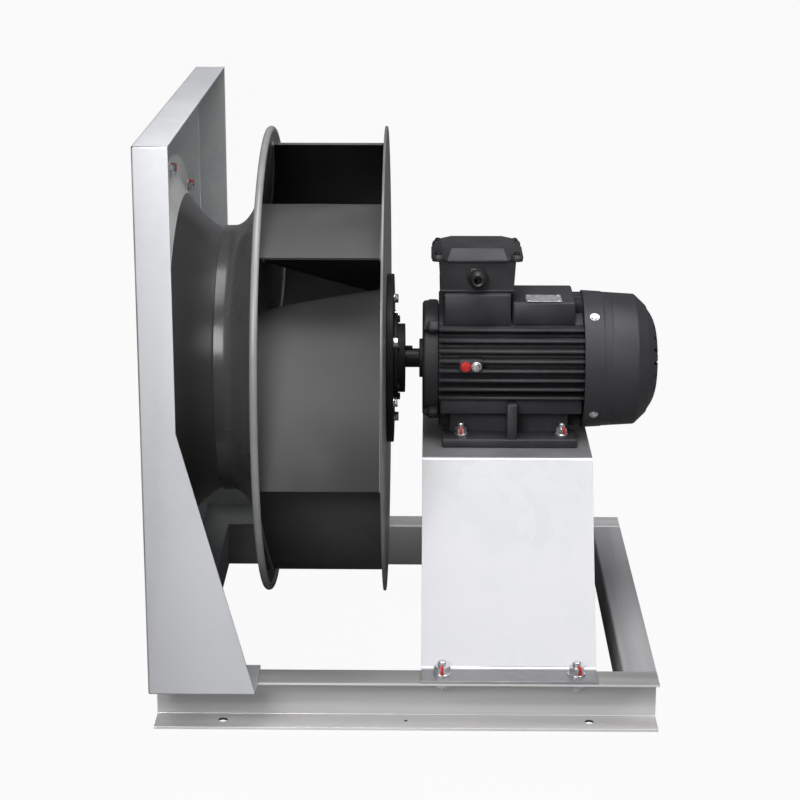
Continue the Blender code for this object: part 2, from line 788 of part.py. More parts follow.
def bolt_mesh(radius, flats, grip, tail):
    """A bolt with a washer and a nut, seated at z 0, its head up and its nut below the grip."""
    head = radius * 2 * BOLT_HEAD
    washer = flats * WASHER_SHARE
    form = bmesh.new()
    prism(form, radius, SHANK_SIDES, -grip - GAP - head - tail, head)
    shank = bpy.data.meshes.new("bolt_shank")
    form.to_mesh(shank)
    form.free()
    body = link("bolt_shank", shank, None)
    corner = flats / math.sqrt(3)
    pieces = (("washer", washer, HOLE_SIDES, GAP, GAP + WASHER_SHEET),
              ("head", corner, HEX_SIDES, GAP + WASHER_SHEET / 2, GAP + WASHER_SHEET + head),
              ("nut", corner, HEX_SIDES, -grip - GAP - head, -grip - GAP))
    for name, size, sides, low, high in pieces:
        join(body, rods(name, [Matrix.Identity(4)], size, low, high, sides))
    return evaluated(body)


def place_bolts(name, shape, places, rotor=None):
    """Set one bolt at each place, numbered from one."""
    for index, place in enumerate(places):
        item = link(f"{name}_{index + 1}", shape.copy(), ZINC)
        item.matrix_world = place
        if rotor is not None:
            carry(item, rotor)


def build_bolts(rotor):
    """Bolts of the stand, of the motor feet and of the hub plate."""
    sides = (-1, 1)
    stand_grip = STAND_SHEET + GAP + RAIL_SHEET
    stand_seat = STAND_BOTTOM + STAND_SHEET
    stand = bolt_mesh(STAND_BOLT_RADIUS, STAND_BOLT_FLATS, stand_grip, STAND_BOLT_RADIUS / 2)
    places = [upright(x, side * STAND_BOLT_Y, stand_seat) for side in sides for x in stand_bolt_stations()]
    place_bolts("stand_bolt", stand, places)
    foot_seat = SHAFT_Z - SHAFT_HEIGHT + FOOT_THICKNESS
    foot_grip = FOOT_THICKNESS + GAP + STAND_SHEET
    foot = bolt_mesh(FOOT_BOLT_RADIUS, FOOT_BOLT_FLATS, foot_grip, FOOT_BOLT_RADIUS / 2)
    level = FOOT_SPACING_Y / 2
    places = [upright(x, side * level, foot_seat) for side in sides for x in foot_bolt_stations()]
    place_bolts("motor_foot_bolt", foot, places)
    hub_grip = HUB_PLATE_BACK - BACKPLATE_FRONT
    hub = bolt_mesh(HUB_BOLT_RADIUS, HUB_BOLT_FLATS, hub_grip, HUB_BOLT_RADIUS)
    place_bolts("hub_bolt", hub, hub_bolt_places(station(HUB_PLATE_BACK)), rotor)


def build_motor_stand():
    """The folded stand under the motor, with feet on the side rails."""
    flange = STAND_BOTTOM + STAND_SHEET
    half = [(STAND_TOP_HALF, STAND_TOP), (STAND_WALL_HALF, flange), (BASE_HALF, flange)]
    outline = [(-level, up) for level, up in reversed(half)] + half
    item = folded("motor_stand", outline, station(STAND_FRONT), station(STAND_BACK), STAND_SHEET,
                  STAND_BEND, "X", GALVANISED)
    for name, xs, level, base, radius in (
            ("stand_feet_holes", stand_bolt_stations(), STAND_BOLT_Y, STAND_BOTTOM, STAND_BOLT_RADIUS),
            ("stand_top_holes", foot_bolt_stations(), FOOT_SPACING_Y / 2, STAND_TOP, FOOT_BOLT_RADIUS)):
        places = [upright(x, side * level, base) for side in (-1, 1) for x in xs]
        reach = STAND_SHEET + OVERCUT
        cut(item, rods(name, places, radius + HOLE_CLEARANCE, -reach, reach))
    return item


def fin_positions(count, start):
    """Middle lines of parallel fins, from a first one."""
    return [start + FIN_PITCH * index for index in range(count)]


def reach_at(radius, offset):
    """Distance from the middle plane to a circle, at an offset from its centre."""
    return math.sqrt(max(radius * radius - offset * offset, 0.0))


def fin_corners(middle):
    """Section of one fin as (offset, distance) points, from the barrel to the tip and back."""
    half = FIN_THICKNESS / 2
    corners = ((-half, FRAME_BARREL), (-half, FIN_RADIUS), (half, FIN_RADIUS), (half, FRAME_BARREL))
    return [(middle + offset, reach_at(radius, middle + offset)) for offset, radius in corners]


def frame_outline():
    """Section of the finned frame: level fins at the sides, upright fins above and below."""
    side_middles = fin_positions(SIDE_FINS, -FIN_PITCH * (SIDE_FINS - 1) / 2)
    top_middles = fin_positions(TOP_FINS, -FIN_PITCH * (TOP_FINS - 1) / 2)
    side = [(reach, up) for middle in side_middles for up, reach in fin_corners(middle)]
    top = [corner for middle in top_middles for corner in fin_corners(middle)]
    top.reverse()
    left = [(-level, up) for level, up in reversed(side)]
    bottom = [(level, -up) for level, up in reversed(top)]
    return side + top + left + bottom


def extruded(name, outline, low, high, paint):
    """Run a flat outline of (y, z) points, measured from the shaft axis, along the shaft."""
    form = bmesh.new()
    ring = [form.verts.new((low, level, SHAFT_Z + up)) for level, up in outline]
    face = form.faces.new(ring)
    grown = bmesh.ops.extrude_face_region(form, geom=[face])
    moved = [part for part in grown["geom"] if isinstance(part, bmesh.types.BMVert)]
    bmesh.ops.translate(form, vec=(high - low, 0.0, 0.0), verts=moved)
    bmesh.ops.recalc_face_normals(form, faces=form.faces)
    data = bpy.data.meshes.new(name)
    form.to_mesh(data)
    form.free()
    return link(name, data, paint)


def build_motor_frame():
    """The finned frame with its feet, the saddle of the terminal box and the earth boss."""
    frame = extruded("motor_frame", frame_outline(), station(FRAME_FRONT), station(FRAME_BACK), MOTOR_PAINT)
    top = SHAFT_Z + SADDLE_TOP
    middle = SHAFT_Z + FRAME_BORE / 2
    join(frame, box("saddle", (station(SADDLE_FRONT), -SADDLE_HALF_WIDTH, middle),
                    (station(SADDLE_BACK), SADDLE_HALF_WIDTH, top)))
    join(frame, box("pad", (station(PAD_FRONT), -PAD_HALF_WIDTH, middle),
                    (station(PAD_BACK), PAD_HALF_WIDTH, SHAFT_Z + PAD_TOP)))
    sole = SHAFT_Z - SHAFT_HEIGHT
    tread = sole + FOOT_THICKNESS
    root, crown = sole + FOOT_THICKNESS / 2, SHAFT_Z - FRAME_BARREL / 2
    rib_front, rib_back = station_pair(FOOT_BOLT_FRONT + FOOT_SPACING_X / 2, FOOT_RIB)
    for name, side in (("near", -1), ("far", 1)):
        inner, outer = side * FOOT_INNER, side * FOOT_HALF_WIDTH
        wall = side * (FOOT_INNER + FOOT_WALL)
        join(frame, span_box(f"foot_{name}", FOOT_FRONT, FOOT_BACK, inner, outer, sole, tread))
        join(frame, span_box(f"foot_wall_{name}", FOOT_FRONT + FOOT_WALL, FOOT_BACK - FOOT_WALL, inner, wall,
                             root, crown))
        join(frame, span_box(f"foot_rib_{name}", rib_front, rib_back, inner + side * GAP, outer - side * GAP,
                             root, crown))
    join(frame, earth_boss())
    front, back = FRAME_FRONT - OVERCUT, FRAME_BACK + OVERCUT
    bore = [(front, 0.0), (front, FRAME_BORE), (back, FRAME_BORE), (back, 0.0)]
    cut(frame, turned("frame_bore", bore, None))
    places = [upright(x, side * FOOT_SPACING_Y / 2, sole) for side in (-1, 1) for x in foot_bolt_stations()]
    radius = FOOT_BOLT_RADIUS + HOLE_CLEARANCE
    cut(frame, rods("foot_holes", places, radius, -OVERCUT, FOOT_THICKNESS + OVERCUT))
    return frame


def span_box(name, front, back, inner, outer, low, high):
    """A box between two stations, two levels across and two heights."""
    return box(name, (station(front), min(inner, outer), low), (station(back), max(inner, outer), high))


def earth_stations():
    """World X of the earth screws."""
    return [station(FRAME_FRONT + EARTH_START + EARTH_SPACING * index) for index in range(EARTH_SCREWS)]


def earth_boss():
    """A raised block between the side fins for the earth screws."""
    first, *_, last = earth_stations()
    level = SHAFT_Z + EARTH_HEIGHT
    boss = box("earth_boss", (first - EARTH_BOSS_MARGIN, -EARTH_REACH, level - EARTH_BOSS_MARGIN),
               (last + EARTH_BOSS_MARGIN, -FRAME_BORE - GAP, level + EARTH_BOSS_MARGIN))
    return boss


def build_earth_screws():
    """Two pan head screws on the earth boss, the first with a red mark."""
    for index, x in enumerate(earth_stations()):
        place = Matrix.Translation((x, -EARTH_REACH - GAP, SHAFT_Z + EARTH_HEIGHT))
        turn = place @ Matrix.Rotation(math.pi / 2, 4, "X")
        item = rods(f"earth_screw_{index + 1}", [turn], EARTH_HEAD_RADIUS, 0.0, EARTH_HEAD)
        paint = RED_MARK if index == 0 else ZINC
        item.data.materials.append(finish(f"{item.name}_{paint[0]}", *paint[1:]))


def shield_outline(out, face, direction, bearing, nose):
    """Half section of an end shield whose spigot enters the frame in one direction along the shaft."""
    seat = FRAME_FRONT if direction > 0 else FRAME_BACK
    edge = seat - direction * GAP
    tip = seat + direction * SPIGOT_LENGTH
    inside = face + direction * SHIELD_WALL
    bearing_end = bearing + direction * (BEARING_WIDTH + GAP)
    spigot = FRAME_BORE - GAP
    pocket = BEARING_RADIUS + GAP
    hub = pocket + SHIELD_WALL
    hole = SHAFT_RADIUS + HOLE_CLEARANCE
    return [(nose, hole), (nose, NOSE_RADIUS), (face, NOSE_RADIUS), *out(face, edge),
            (edge, spigot), (tip, spigot), (tip, spigot - SPIGOT_WALL), (inside, spigot - SPIGOT_WALL),
            (inside, hub), (bearing_end, hub), (bearing_end, pocket), (bearing, pocket), (bearing, hole)]


def build_end_shields():
    """The drive end shield with its nose, and the fan end shield that carries the cover."""
    def drive_rim(face, edge):
        crown = (face + SHIELD_WALL / 2, SHIELD_RADIUS)
        return [(face, SHIELD_RADIUS - SHIELD_WALL), crown, (edge, SHIELD_RADIUS)]

    def fan_rim(face, edge):
        lip = COVER_BORE - COVER_SLOPE * FAN_SHIELD_LIP - 2 * GAP
        return [(face, lip - SHIELD_WALL), (edge + FAN_SHIELD_LIP, lip), (edge, lip)]

    drive = turned("drive_end_shield", shield_outline(drive_rim, SHIELD_FACE, 1, BEARING_FRONT, NOSE_FRONT),
                   MOTOR_PAINT)
    rear = turned("fan_end_shield", shield_outline(fan_rim, REAR_SHIELD_FACE, -1, REAR_BEARING_BACK,
                                                   REAR_SHIELD_BACK), MOTOR_PAINT)
    return drive, rear


def build_bearings(rotor):
    """Sealed bearings, each an outer and an inner ring with a running gap."""
    for name, low in (("drive", BEARING_FRONT), ("fan", REAR_BEARING_BACK - BEARING_WIDTH)):
        low = low + GAP if name == "drive" else low - GAP
        high = low + BEARING_WIDTH - GAP
        turned(f"{name}_bearing_outer", rectangle(low, high, BEARING_SPLIT + GAP, BEARING_RADIUS),
               BRIGHT_STEEL, INNER_SIDES)
        inner = turned(f"{name}_bearing_inner", rectangle(low, high, BEARING_BORE, BEARING_SPLIT),
                       BRIGHT_STEEL, INNER_SIDES)
        carry(inner, rotor)


def build_packs(rotor):
    """The wound stator pack in the frame and the cage pack on the shaft."""
    front, back = station_pair(PACK_MIDDLE, PACK_LENGTH)
    stator = [(front, STATOR_BORE), (back, STATOR_BORE), (back, WINDING_INNER),
              (back + WINDING_REACH, WINDING_INNER), (back + WINDING_REACH, WINDING_OUTER),
              (back, WINDING_OUTER), (back, STATOR_RADIUS), (front, STATOR_RADIUS), (front, WINDING_OUTER),
              (front - WINDING_REACH, WINDING_OUTER), (front - WINDING_REACH, WINDING_INNER),
              (front, WINDING_INNER)]
    turned("stator_pack", stator, COPPER)
    seat = SHAFT_BODY_RADIUS + GAP
    core = [(front, seat), (back, seat), (back, END_RING_INNER), (back + END_RING, END_RING_INNER),
            (back + END_RING, ROTOR_RADIUS), (front - END_RING, ROTOR_RADIUS),
            (front - END_RING, END_RING_INNER), (front, END_RING_INNER)]
    carry(turned("rotor_core", core, BRIGHT_STEEL, INNER_SIDES), rotor)


def station_pair(middle, length):
    """Two stations at equal distances from a middle one."""
    return middle - length / 2, middle + length / 2


def key_box(name, spare, paint=None):
    """The key's block, grown by a clearance."""
    low = HUB_RING_FRONT + KEY_SETBACK
    base = SHAFT_Z + SHAFT_RADIUS - KEY_DEPTH
    return box(name, (station(low) - spare, -KEY_WIDTH / 2 - spare, base - spare),
               (station(low + KEY_LENGTH) + spare, KEY_WIDTH / 2 + spare, base + KEY_HEIGHT + spare), paint)


def build_shaft(rotor):
    """The stepped shaft from the wheel to the cooling fan, with the key that drives the hub."""
    seat = BEARING_BORE - GAP
    front_shoulder = BEARING_FRONT + BEARING_WIDTH + 2 * GAP
    rear_shoulder = REAR_BEARING_BACK - BEARING_WIDTH - 2 * GAP
    outline = [(SHAFT_END, 0.0), (SHAFT_END, SHAFT_RADIUS - HOLE_CLEARANCE),
               (SHAFT_END + HOLE_CLEARANCE, SHAFT_RADIUS), (BEARING_FRONT, SHAFT_RADIUS),
               (BEARING_FRONT, seat), (front_shoulder, seat), (front_shoulder, SHAFT_BODY_RADIUS),
               (rear_shoulder, SHAFT_BODY_RADIUS), (rear_shoulder, seat), (REAR_BEARING_BACK, seat),
               (REAR_BEARING_BACK, FAN_SEAT_RADIUS), (SHAFT_TAIL, FAN_SEAT_RADIUS), (SHAFT_TAIL, 0.0)]
    shaft = turned("rotor_shaft", outline, BRIGHT_STEEL)
    cut(shaft, key_box("shaft_keyway", GAP))
    carry(shaft, rotor)
    cut(bpy.data.objects["hub_boss"], key_box("hub_keyway", GAP))
    carry(key_box("shaft_key", 0.0, BRIGHT_STEEL), rotor)


def radial_blocks(name, angles, low, high, inner, outer, thickness):
    """Blocks that stand out from the shaft between two stations and two radii, as a helper body."""
    size = Matrix.Diagonal((high - low, outer - inner, thickness, 1.0))
    spot = Matrix.Translation((station((low + high) / 2), (inner + outer) / 2, 0.0))
    form = bmesh.new()
    for angle in angles:
        turn = Matrix.Translation((0.0, 0.0, SHAFT_Z)) @ Matrix.Rotation(angle, 4, "X")
        bmesh.ops.create_cube(form, size=1.0, matrix=turn @ spot @ size)
    data = bpy.data.meshes.new(name)
    form.to_mesh(data)
    form.free()
    return link(name, data, None)


def build_cooling_fan(rotor):
    """Straight radial blades on a disc with a hub, inside the cover."""
    bore = FAN_SEAT_RADIUS + GAP
    disc_back = FAN_FRONT + FAN_DISC_THICKNESS
    outline = [(FAN_FRONT, bore), (FAN_FRONT, FAN_DISC_RADIUS), (disc_back, FAN_DISC_RADIUS),
               (disc_back, FAN_HUB_RADIUS), (FAN_BACK, FAN_HUB_RADIUS), (FAN_BACK, bore)]
    fan = turned("cooling_fan", outline, BLACK_PLASTIC)
    inner = (bore + FAN_HUB_RADIUS) / 2
    join(fan, radial_blocks("fan_vanes", ring_angles(FAN_BLADES), FAN_FRONT + GAP, FAN_BACK - GAP,
                            inner, FAN_RADIUS, FAN_BLADE_THICKNESS))
    carry(fan, rotor)


def cover_outline():
    """Outer side of the cover, from the middle of its domed face to its open end."""
    outline = [(COVER_END, 0.0)]
    for index in range(DOME_POINTS):
        share = index / (DOME_POINTS - 1)
        radius = GRILLE_INNER + (COVER_FACE_RADIUS - GRILLE_INNER) * share
        outline.append((COVER_FACE + COVER_DOME * (1 - share**DOME_POWER), radius))
    return outline + [(COVER_BARREL_END, COVER_BARREL_RADIUS), (COVER_FRONT, COVER_RADIUS)]


def build_fan_cover():
    """The drawn cover: a tapered barrel, a chamfer and a domed face with radial air slots."""
    points = cover_outline()
    item = revolve("fan_cover", points, chain(points), MOTOR_PAINT, MOTOR_SIDES)
    sheet = item.modifiers.new("sheet", "SOLIDIFY")
    sheet.thickness = COVER_SHEET
    sheet.offset = -1.0
    sheet.use_even_offset = True
    angles = ring_angles(GRILLE_SLOTS, math.pi / GRILLE_SLOTS)
    return cut(item, radial_blocks("cover_slots", angles, COVER_FACE - COVER_DOME, COVER_END + COVER_DOME,
                                   GRILLE_INNER, GRILLE_OUTER, GRILLE_SLOT_WIDTH))


def tapered_box(name, length, width, low, high, taper, paint):
    """A box on the shaft's middle plane whose lower face is smaller by a taper."""
    form = bmesh.new()
    bmesh.ops.create_cube(form, size=1.0)
    for corner in form.verts:
        share = taper if corner.co.z < 0 else 1.0
        corner.co.x *= length * share
        corner.co.y *= width * share
        corner.co.z *= high - low
    data = bpy.data.meshes.new(name)
    form.to_mesh(data)
    form.free()
    item = link(name, data, paint)
    item.location = (station(SADDLE_MIDDLE), 0.0, SHAFT_Z + (low + high) / 2)
    return item


def gland_matrix(spare=0.0):
    """Place of the cable gland: its axis leaves the near wall of the box."""
    seat = BOX_WIDTH / 2 * BOX_TAPER + BOX_SLOPE * GLAND_HEIGHT
    spot = Vector((station(SADDLE_MIDDLE), -seat - spare, SHAFT_Z + BOX_BOTTOM + GLAND_HEIGHT))
    return Matrix.Translation(spot) @ Matrix.Rotation(math.pi / 2, 4, "X")


def build_terminal_box():
    """The open box on the saddle, its chamfered lid, the terminal block and the cable gland."""
    body = tapered_box("terminal_box", BOX_LENGTH, BOX_WIDTH, BOX_BOTTOM, BOX_TOP, BOX_TAPER, MOTOR_PAINT)
    cut(body, tapered_box("box_hollow", BOX_LENGTH - 2 * BOX_WALL, BOX_WIDTH - 2 * BOX_WALL,
                          BOX_BOTTOM + BOX_WALL, BOX_TOP + BOX_WALL, BOX_TAPER, None))
    cut(body, rods("gland_hole", [gland_matrix()], GLAND_RADIUS + GAP, -BOX_WALL - 2 * OVERCUT, OVERCUT,
                   GLAND_SIDES))
    lid = box("terminal_box_lid", (-LID_LENGTH / 2, -LID_WIDTH / 2, 0.0),
              (LID_LENGTH / 2, LID_WIDTH / 2, LID_HEIGHT), MOTOR_PAINT)
    shape_lid(lid.data)
    lid.location = (station(SADDLE_MIDDLE), 0.0, SHAFT_Z + LID_BOTTOM + LID_HEIGHT / 2)
    cut(lid, tapered_box("lid_hollow", BOX_LENGTH - 2 * LID_SEAT, BOX_WIDTH - 2 * LID_SEAT,
                         LID_BOTTOM - OVERCUT, LID_BOTTOM + LID_RECESS, 1.0, None))
    floor = SHAFT_Z + BOX_BOTTOM + BOX_WALL + GAP
    middle = station(SADDLE_MIDDLE)
    box("terminal_block", (middle - BLOCK_LENGTH / 2, -BLOCK_WIDTH / 2, floor),
        (middle + BLOCK_LENGTH / 2, BLOCK_WIDTH / 2, floor + BLOCK_HEIGHT), BLACK_PLASTIC)
    build_gland()


def shape_lid(data):
    """Cut the lid's upright corners and chamfer its top."""
    form = bmesh.new()
    form.from_mesh(data)
    upright_edges = [edge for edge in form.edges if abs(edge.verts[0].co.z - edge.verts[1].co.z) > GAP]
    bmesh.ops.bevel(form, geom=upright_edges, offset=LID_CORNER, segments=1, affect="EDGES")
    top = max(corner.co.z for corner in form.verts)
    top_edges = [edge for edge in form.edges if all(corner.co.z > top - GAP for corner in edge.verts)]
    bmesh.ops.bevel(form, geom=top_edges, offset=LID_CHAMFER, segments=1, affect="EDGES")
    form.to_mesh(data)
    form.free()


def build_gland():
    """The cable gland with its hexagons and an open bore."""
    place = gland_matrix()
    body = rods("cable_gland", [place], GLAND_RADIUS, -GLAND_TAIL, GLAND_REACH - GLAND_HEX, GLAND_SIDES)
    corner = GLAND_FLATS / math.sqrt(3)
    lean = GAP + corner * BOX_SLOPE
    join(body, rods("gland_hex", [gland_matrix(lean)], corner, 0.0, GLAND_HEX, HEX_SIDES))
    join(body, rods("gland_cap", [place], GLAND_CAP_RADIUS, GLAND_CAP_START, GLAND_REACH, GLAND_SIDES))
    low, high = -GLAND_TAIL - OVERCUT, GLAND_REACH + OVERCUT
    cut(body, rods("gland_bore", [place], GLAND_BORE, low, high, GLAND_SIDES))
    label, colour, roughness, metallic = BLACK_PLASTIC
    body.data.materials.append(finish(f"cable_gland_{label}", colour, roughness, metallic))


def build_nameplate():
    """A bare plate on the pad beside the terminal box."""
    middle = station((PAD_FRONT + PAD_BACK) / 2)
    base = SHAFT_Z + PAD_TOP + GAP
    front, back = middle - NAMEPLATE_LENGTH / 2, middle + NAMEPLATE_LENGTH / 2
    near, far = GAP - PAD_HALF_WIDTH, NAMEPLATE_WIDTH - PAD_HALF_WIDTH
    box("nameplate", (front, near, base), (back, far, base + NAMEPLATE_SHEET), BARE_PLATE)


def build_motor(rotor):
    """The motor, from its frame to the covers and the turning parts inside."""
    build_motor_frame()
    build_end_shields()
    build_bearings(rotor)
    build_packs(rotor)
    build_shaft(rotor)
    build_cooling_fan(rotor)
    build_fan_cover()
    build_terminal_box()
    build_nameplate()
    build_earth_screws()


def build():
    """Build the whole fan, with everything that turns under one empty on the shaft axis."""
    rotor = bpy.data.objects.new("rotor_axis", None)
    PARTS.objects.link(rotor)
    rotor.location = (station(BACKPLATE_FRONT), 0.0, SHAFT_Z)
    build_base()
    build_inlet_panel()
    build_inlet_cone()
    build_wheel(rotor)
    build_motor_stand()
    build_motor(rotor)
    build_bolts(rotor)


build()
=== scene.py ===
"""Looks of a direct driven airfoil plug fan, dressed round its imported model.

Metres, +Z up. Stations run along +X from the outer face of the inlet panel, and the shaft lies along X.
Every finished piece keeps its place in its mesh and rides on the body that carries it.
"""
import enum
import json
import logging
import math
from collections.abc import Iterable, Sequence
from dataclasses import dataclass, field

import bmesh
import bpy
from mathutils import Euler, Matrix, Vector

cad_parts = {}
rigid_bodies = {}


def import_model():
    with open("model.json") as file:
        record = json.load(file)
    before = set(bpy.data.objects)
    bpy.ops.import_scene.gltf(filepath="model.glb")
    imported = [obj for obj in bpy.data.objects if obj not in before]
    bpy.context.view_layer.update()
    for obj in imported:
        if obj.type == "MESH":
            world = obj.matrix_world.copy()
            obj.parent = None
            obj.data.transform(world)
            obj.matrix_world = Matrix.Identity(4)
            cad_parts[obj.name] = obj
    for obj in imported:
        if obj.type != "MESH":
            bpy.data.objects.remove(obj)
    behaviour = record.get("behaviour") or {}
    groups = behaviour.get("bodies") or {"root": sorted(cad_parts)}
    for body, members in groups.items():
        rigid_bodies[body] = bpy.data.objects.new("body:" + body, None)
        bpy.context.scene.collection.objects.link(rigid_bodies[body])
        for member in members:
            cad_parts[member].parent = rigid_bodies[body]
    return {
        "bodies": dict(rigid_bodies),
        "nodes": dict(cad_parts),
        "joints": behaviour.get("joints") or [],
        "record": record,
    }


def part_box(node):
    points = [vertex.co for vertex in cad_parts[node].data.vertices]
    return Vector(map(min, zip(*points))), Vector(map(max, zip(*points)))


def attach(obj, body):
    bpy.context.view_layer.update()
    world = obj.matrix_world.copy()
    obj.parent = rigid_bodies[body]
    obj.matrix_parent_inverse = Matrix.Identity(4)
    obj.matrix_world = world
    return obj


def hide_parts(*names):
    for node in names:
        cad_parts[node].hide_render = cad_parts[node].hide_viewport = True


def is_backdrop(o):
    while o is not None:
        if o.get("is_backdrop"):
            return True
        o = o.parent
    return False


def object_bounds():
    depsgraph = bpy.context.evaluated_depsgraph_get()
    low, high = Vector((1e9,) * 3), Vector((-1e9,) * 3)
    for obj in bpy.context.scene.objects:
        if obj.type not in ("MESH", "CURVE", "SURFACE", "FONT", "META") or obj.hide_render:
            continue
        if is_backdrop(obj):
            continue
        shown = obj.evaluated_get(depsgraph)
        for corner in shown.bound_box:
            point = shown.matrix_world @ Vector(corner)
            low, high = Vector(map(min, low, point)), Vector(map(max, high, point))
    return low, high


IMAGE_PIXELS = 800
TINY = 1e-5
SEAT_GAP = 0.0003
WELD_GAP = 0.0006
LOG = logging.getLogger("plug_fan")

Colour = tuple[float, float, float]
Pair = tuple[float, float]
Outline = list[Pair]


class Body(enum.Enum):
    """Bodies that a piece can ride on."""

    ROOT = "root"
    ROTOR = "rotor"


class Head(enum.Enum):
    """Kinds of screw head."""

    HEXAGON = 6
    PAN = 20


class Graph:
    """Short calls that add and join the nodes of one tree."""

    def __init__(self, tree: bpy.types.NodeTree) -> None:
        """Start from an empty tree.

        Args:
            tree: The shader or geometry tree to fill.
        """
        self.tree = tree
        tree.nodes.clear()

    def add(self, kind: str, **settings: object) -> bpy.types.Node:
        """Add a node.

        Args:
            kind: Blender's name of the node type.
            **settings: Properties of the node.

        Returns:
            The new node.
        """
        node = self.tree.nodes.new(kind)
        for name, value in settings.items():
            setattr(node, name, value)
        return node

    def put(self, node: bpy.types.Node, **values: object) -> bpy.types.Node:
        """Set sockets by name, or link them where the value is a socket.

        Args:
            node: The node whose inputs are set.
            **values: Socket names, with _ for a space, and their values.

        Returns:
            The same node.
        """
        for name, value in values.items():
            socket = node.inputs[name.replace("_", " ")]
            if isinstance(value, bpy.types.NodeSocket):
                self.tree.links.new(value, socket)
            else:
                socket.default_value = value
        return node

    def span(self, value: bpy.types.NodeSocket, low: float, high: float, source: Pair = (0.35, 0.65)
             ) -> bpy.types.NodeSocket:
        """Map a value to a new range.

        Args:
            value: Socket that gives the value.
            low: Lowest result.
            high: Highest result.
            source: Range that the value comes from.

        Returns:
            The socket of the result.
        """
        node = self.add("ShaderNodeMapRange", interpolation_type="SMOOTHSTEP")
        self.put(node, Value=value, From_Min=source[0], From_Max=source[1], To_Min=low, To_Max=high)
        return node.outputs["Result"]

    def blend(self, share: object, first: object, second: object) -> bpy.types.NodeSocket:
        """Mix two colours.

        Args:
            share: Socket or number, 0 for the first colour.
            first: Socket or colour.
            second: Socket or colour.

        Returns:
            The socket of the mixed colour.
        """
        node = self.add("ShaderNodeMix", data_type="RGBA")
        for socket, value in ((node.inputs[0], share), (node.inputs[6], first), (node.inputs[7], second)):
            if isinstance(value, bpy.types.NodeSocket):
                self.tree.links.new(value, socket)
            elif isinstance(value, tuple):
                socket.default_value = (*value, 1.0)
            else:
                socket.default_value = value
        return node.outputs[2]

    def maths(self, operation: str, *values: object) -> bpy.types.NodeSocket:
        """Work out a number.

        Args:
            operation: Blender's name of the operation.
            *values: Sockets or numbers that it works on.

        Returns:
            The socket of the result.
        """
        node = self.add("ShaderNodeMath", operation=operation)
        for socket, value in zip(node.inputs, values):
            if isinstance(value, bpy.types.NodeSocket):
                self.tree.links.new(value, socket)
            else:
                socket.default_value = value
        return node.outputs[0]

    def fade(self, share: bpy.types.NodeSocket, *shaders: bpy.types.Node) -> bpy.types.NodeSocket:
        """Mix two shaders, the first of them where the share is 0."""
        node = self.add("ShaderNodeMixShader")
        for socket, value in zip(node.inputs, (share, *(shader.outputs[0] for shader in shaders))):
            self.tree.links.new(value, socket)
        return node.outputs[0]


@dataclass(frozen=True)
class Finish:
    """A surface finish: two tones in soft clouds, a fine relief and a gloss that varies.

    The streaks of a brushed finish are clouds that are stretched along one axis. Scales count features
    in a metre.
    """

    name: str
    slot: str
    dark: Colour
    light: Colour
    roughness: Pair
    metallic: float = 0.0
    cloud: float = 14.0
    stretch: Colour = (1.0, 1.0, 1.0)
    grain: float = 500.0
    relief: float = 0.08
    spangle: float = 0.0
    coat: float = 0.0
    specular: float = 0.5

    def material(self) -> bpy.types.Material:
        """The material of this finish, made once."""
        return bpy.data.materials.get(f"finish_{self.name}") or self._make()

    def _make(self) -> bpy.types.Material:
        """Build the node tree.

        Returns:
            The new material.
        """
        made = bpy.data.materials.new(f"finish_{self.name}")
        made.use_nodes = True
        graph = Graph(made.node_tree)
        place = graph.add("ShaderNodeTexCoord").outputs["Object"]
        turned = graph.put(graph.add("ShaderNodeMapping"), Vector=place, Scale=self.stretch).outputs[0]
        clouds = graph.put(graph.add("ShaderNodeTexNoise"), Vector=turned, Scale=self.cloud, Detail=2.0)
        grain = graph.put(graph.add("ShaderNodeTexNoise"), Vector=place, Scale=self.grain, Detail=2.0)
        tone = graph.blend(graph.span(clouds.outputs[0], 0.0, 1.0), self.dark, self.light)
        height = grain.outputs[0]
        if self.spangle:
            cells = graph.put(graph.add("ShaderNodeTexVoronoi"), Vector=place, Scale=self.spangle)
            flake = graph.put(graph.add("ShaderNodeSeparateColor"), Color=cells.outputs["Color"]).outputs[0]
            tone = graph.blend(graph.span(flake, 0.0, 0.5, (0.0, 1.0)), tone, self.light)
        shader = graph.add("ShaderNodeBsdfPrincipled")
        bump = graph.put(graph.add("ShaderNodeBump"), Strength=self.relief, Distance=0.0004, Height=height)
        graph.put(shader, Base_Color=tone, Normal=bump.outputs[0], Metallic=self.metallic,
                  Roughness=graph.span(clouds.outputs[0], *self.roughness), Coat_Weight=self.coat,
                  Coat_Roughness=0.15, Specular_IOR_Level=self.specular)
        graph.put(graph.add("ShaderNodeOutputMaterial"), Surface=shader.outputs[0])
        return made


GALVANISED = Finish("galvanised", "galvanised_sheet", (0.58, 0.59, 0.615), (0.65, 0.66, 0.68), (0.44, 0.54),
                    metallic=0.2, cloud=9.0, stretch=(1.0, 1.0, 0.35), spangle=110.0, relief=0.04)
# Slightly darker, less glossy copy of the galvanised sheet on the stand, whose upturned faces catch more
# light: painted shade.
STAND_SHEET_SHADE = Finish("stand_sheet", "galvanised_sheet", (0.54, 0.555, 0.56), (0.60, 0.60, 0.625),
                     (0.56, 0.64), metallic=0.05, cloud=7.0, spangle=60.0, relief=0.04, specular=0.3)
# Darker copy of the galvanised sheet on the panel's inner and lower level faces: painted shade.
TRAY_SHADE = Finish("tray", "galvanised_sheet", (0.42, 0.44, 0.445), (0.50, 0.51, 0.51), (0.40, 0.48),
              metallic=0.3, cloud=9.0, stretch=(1.0, 1.0, 0.35), spangle=110.0, relief=0.04)
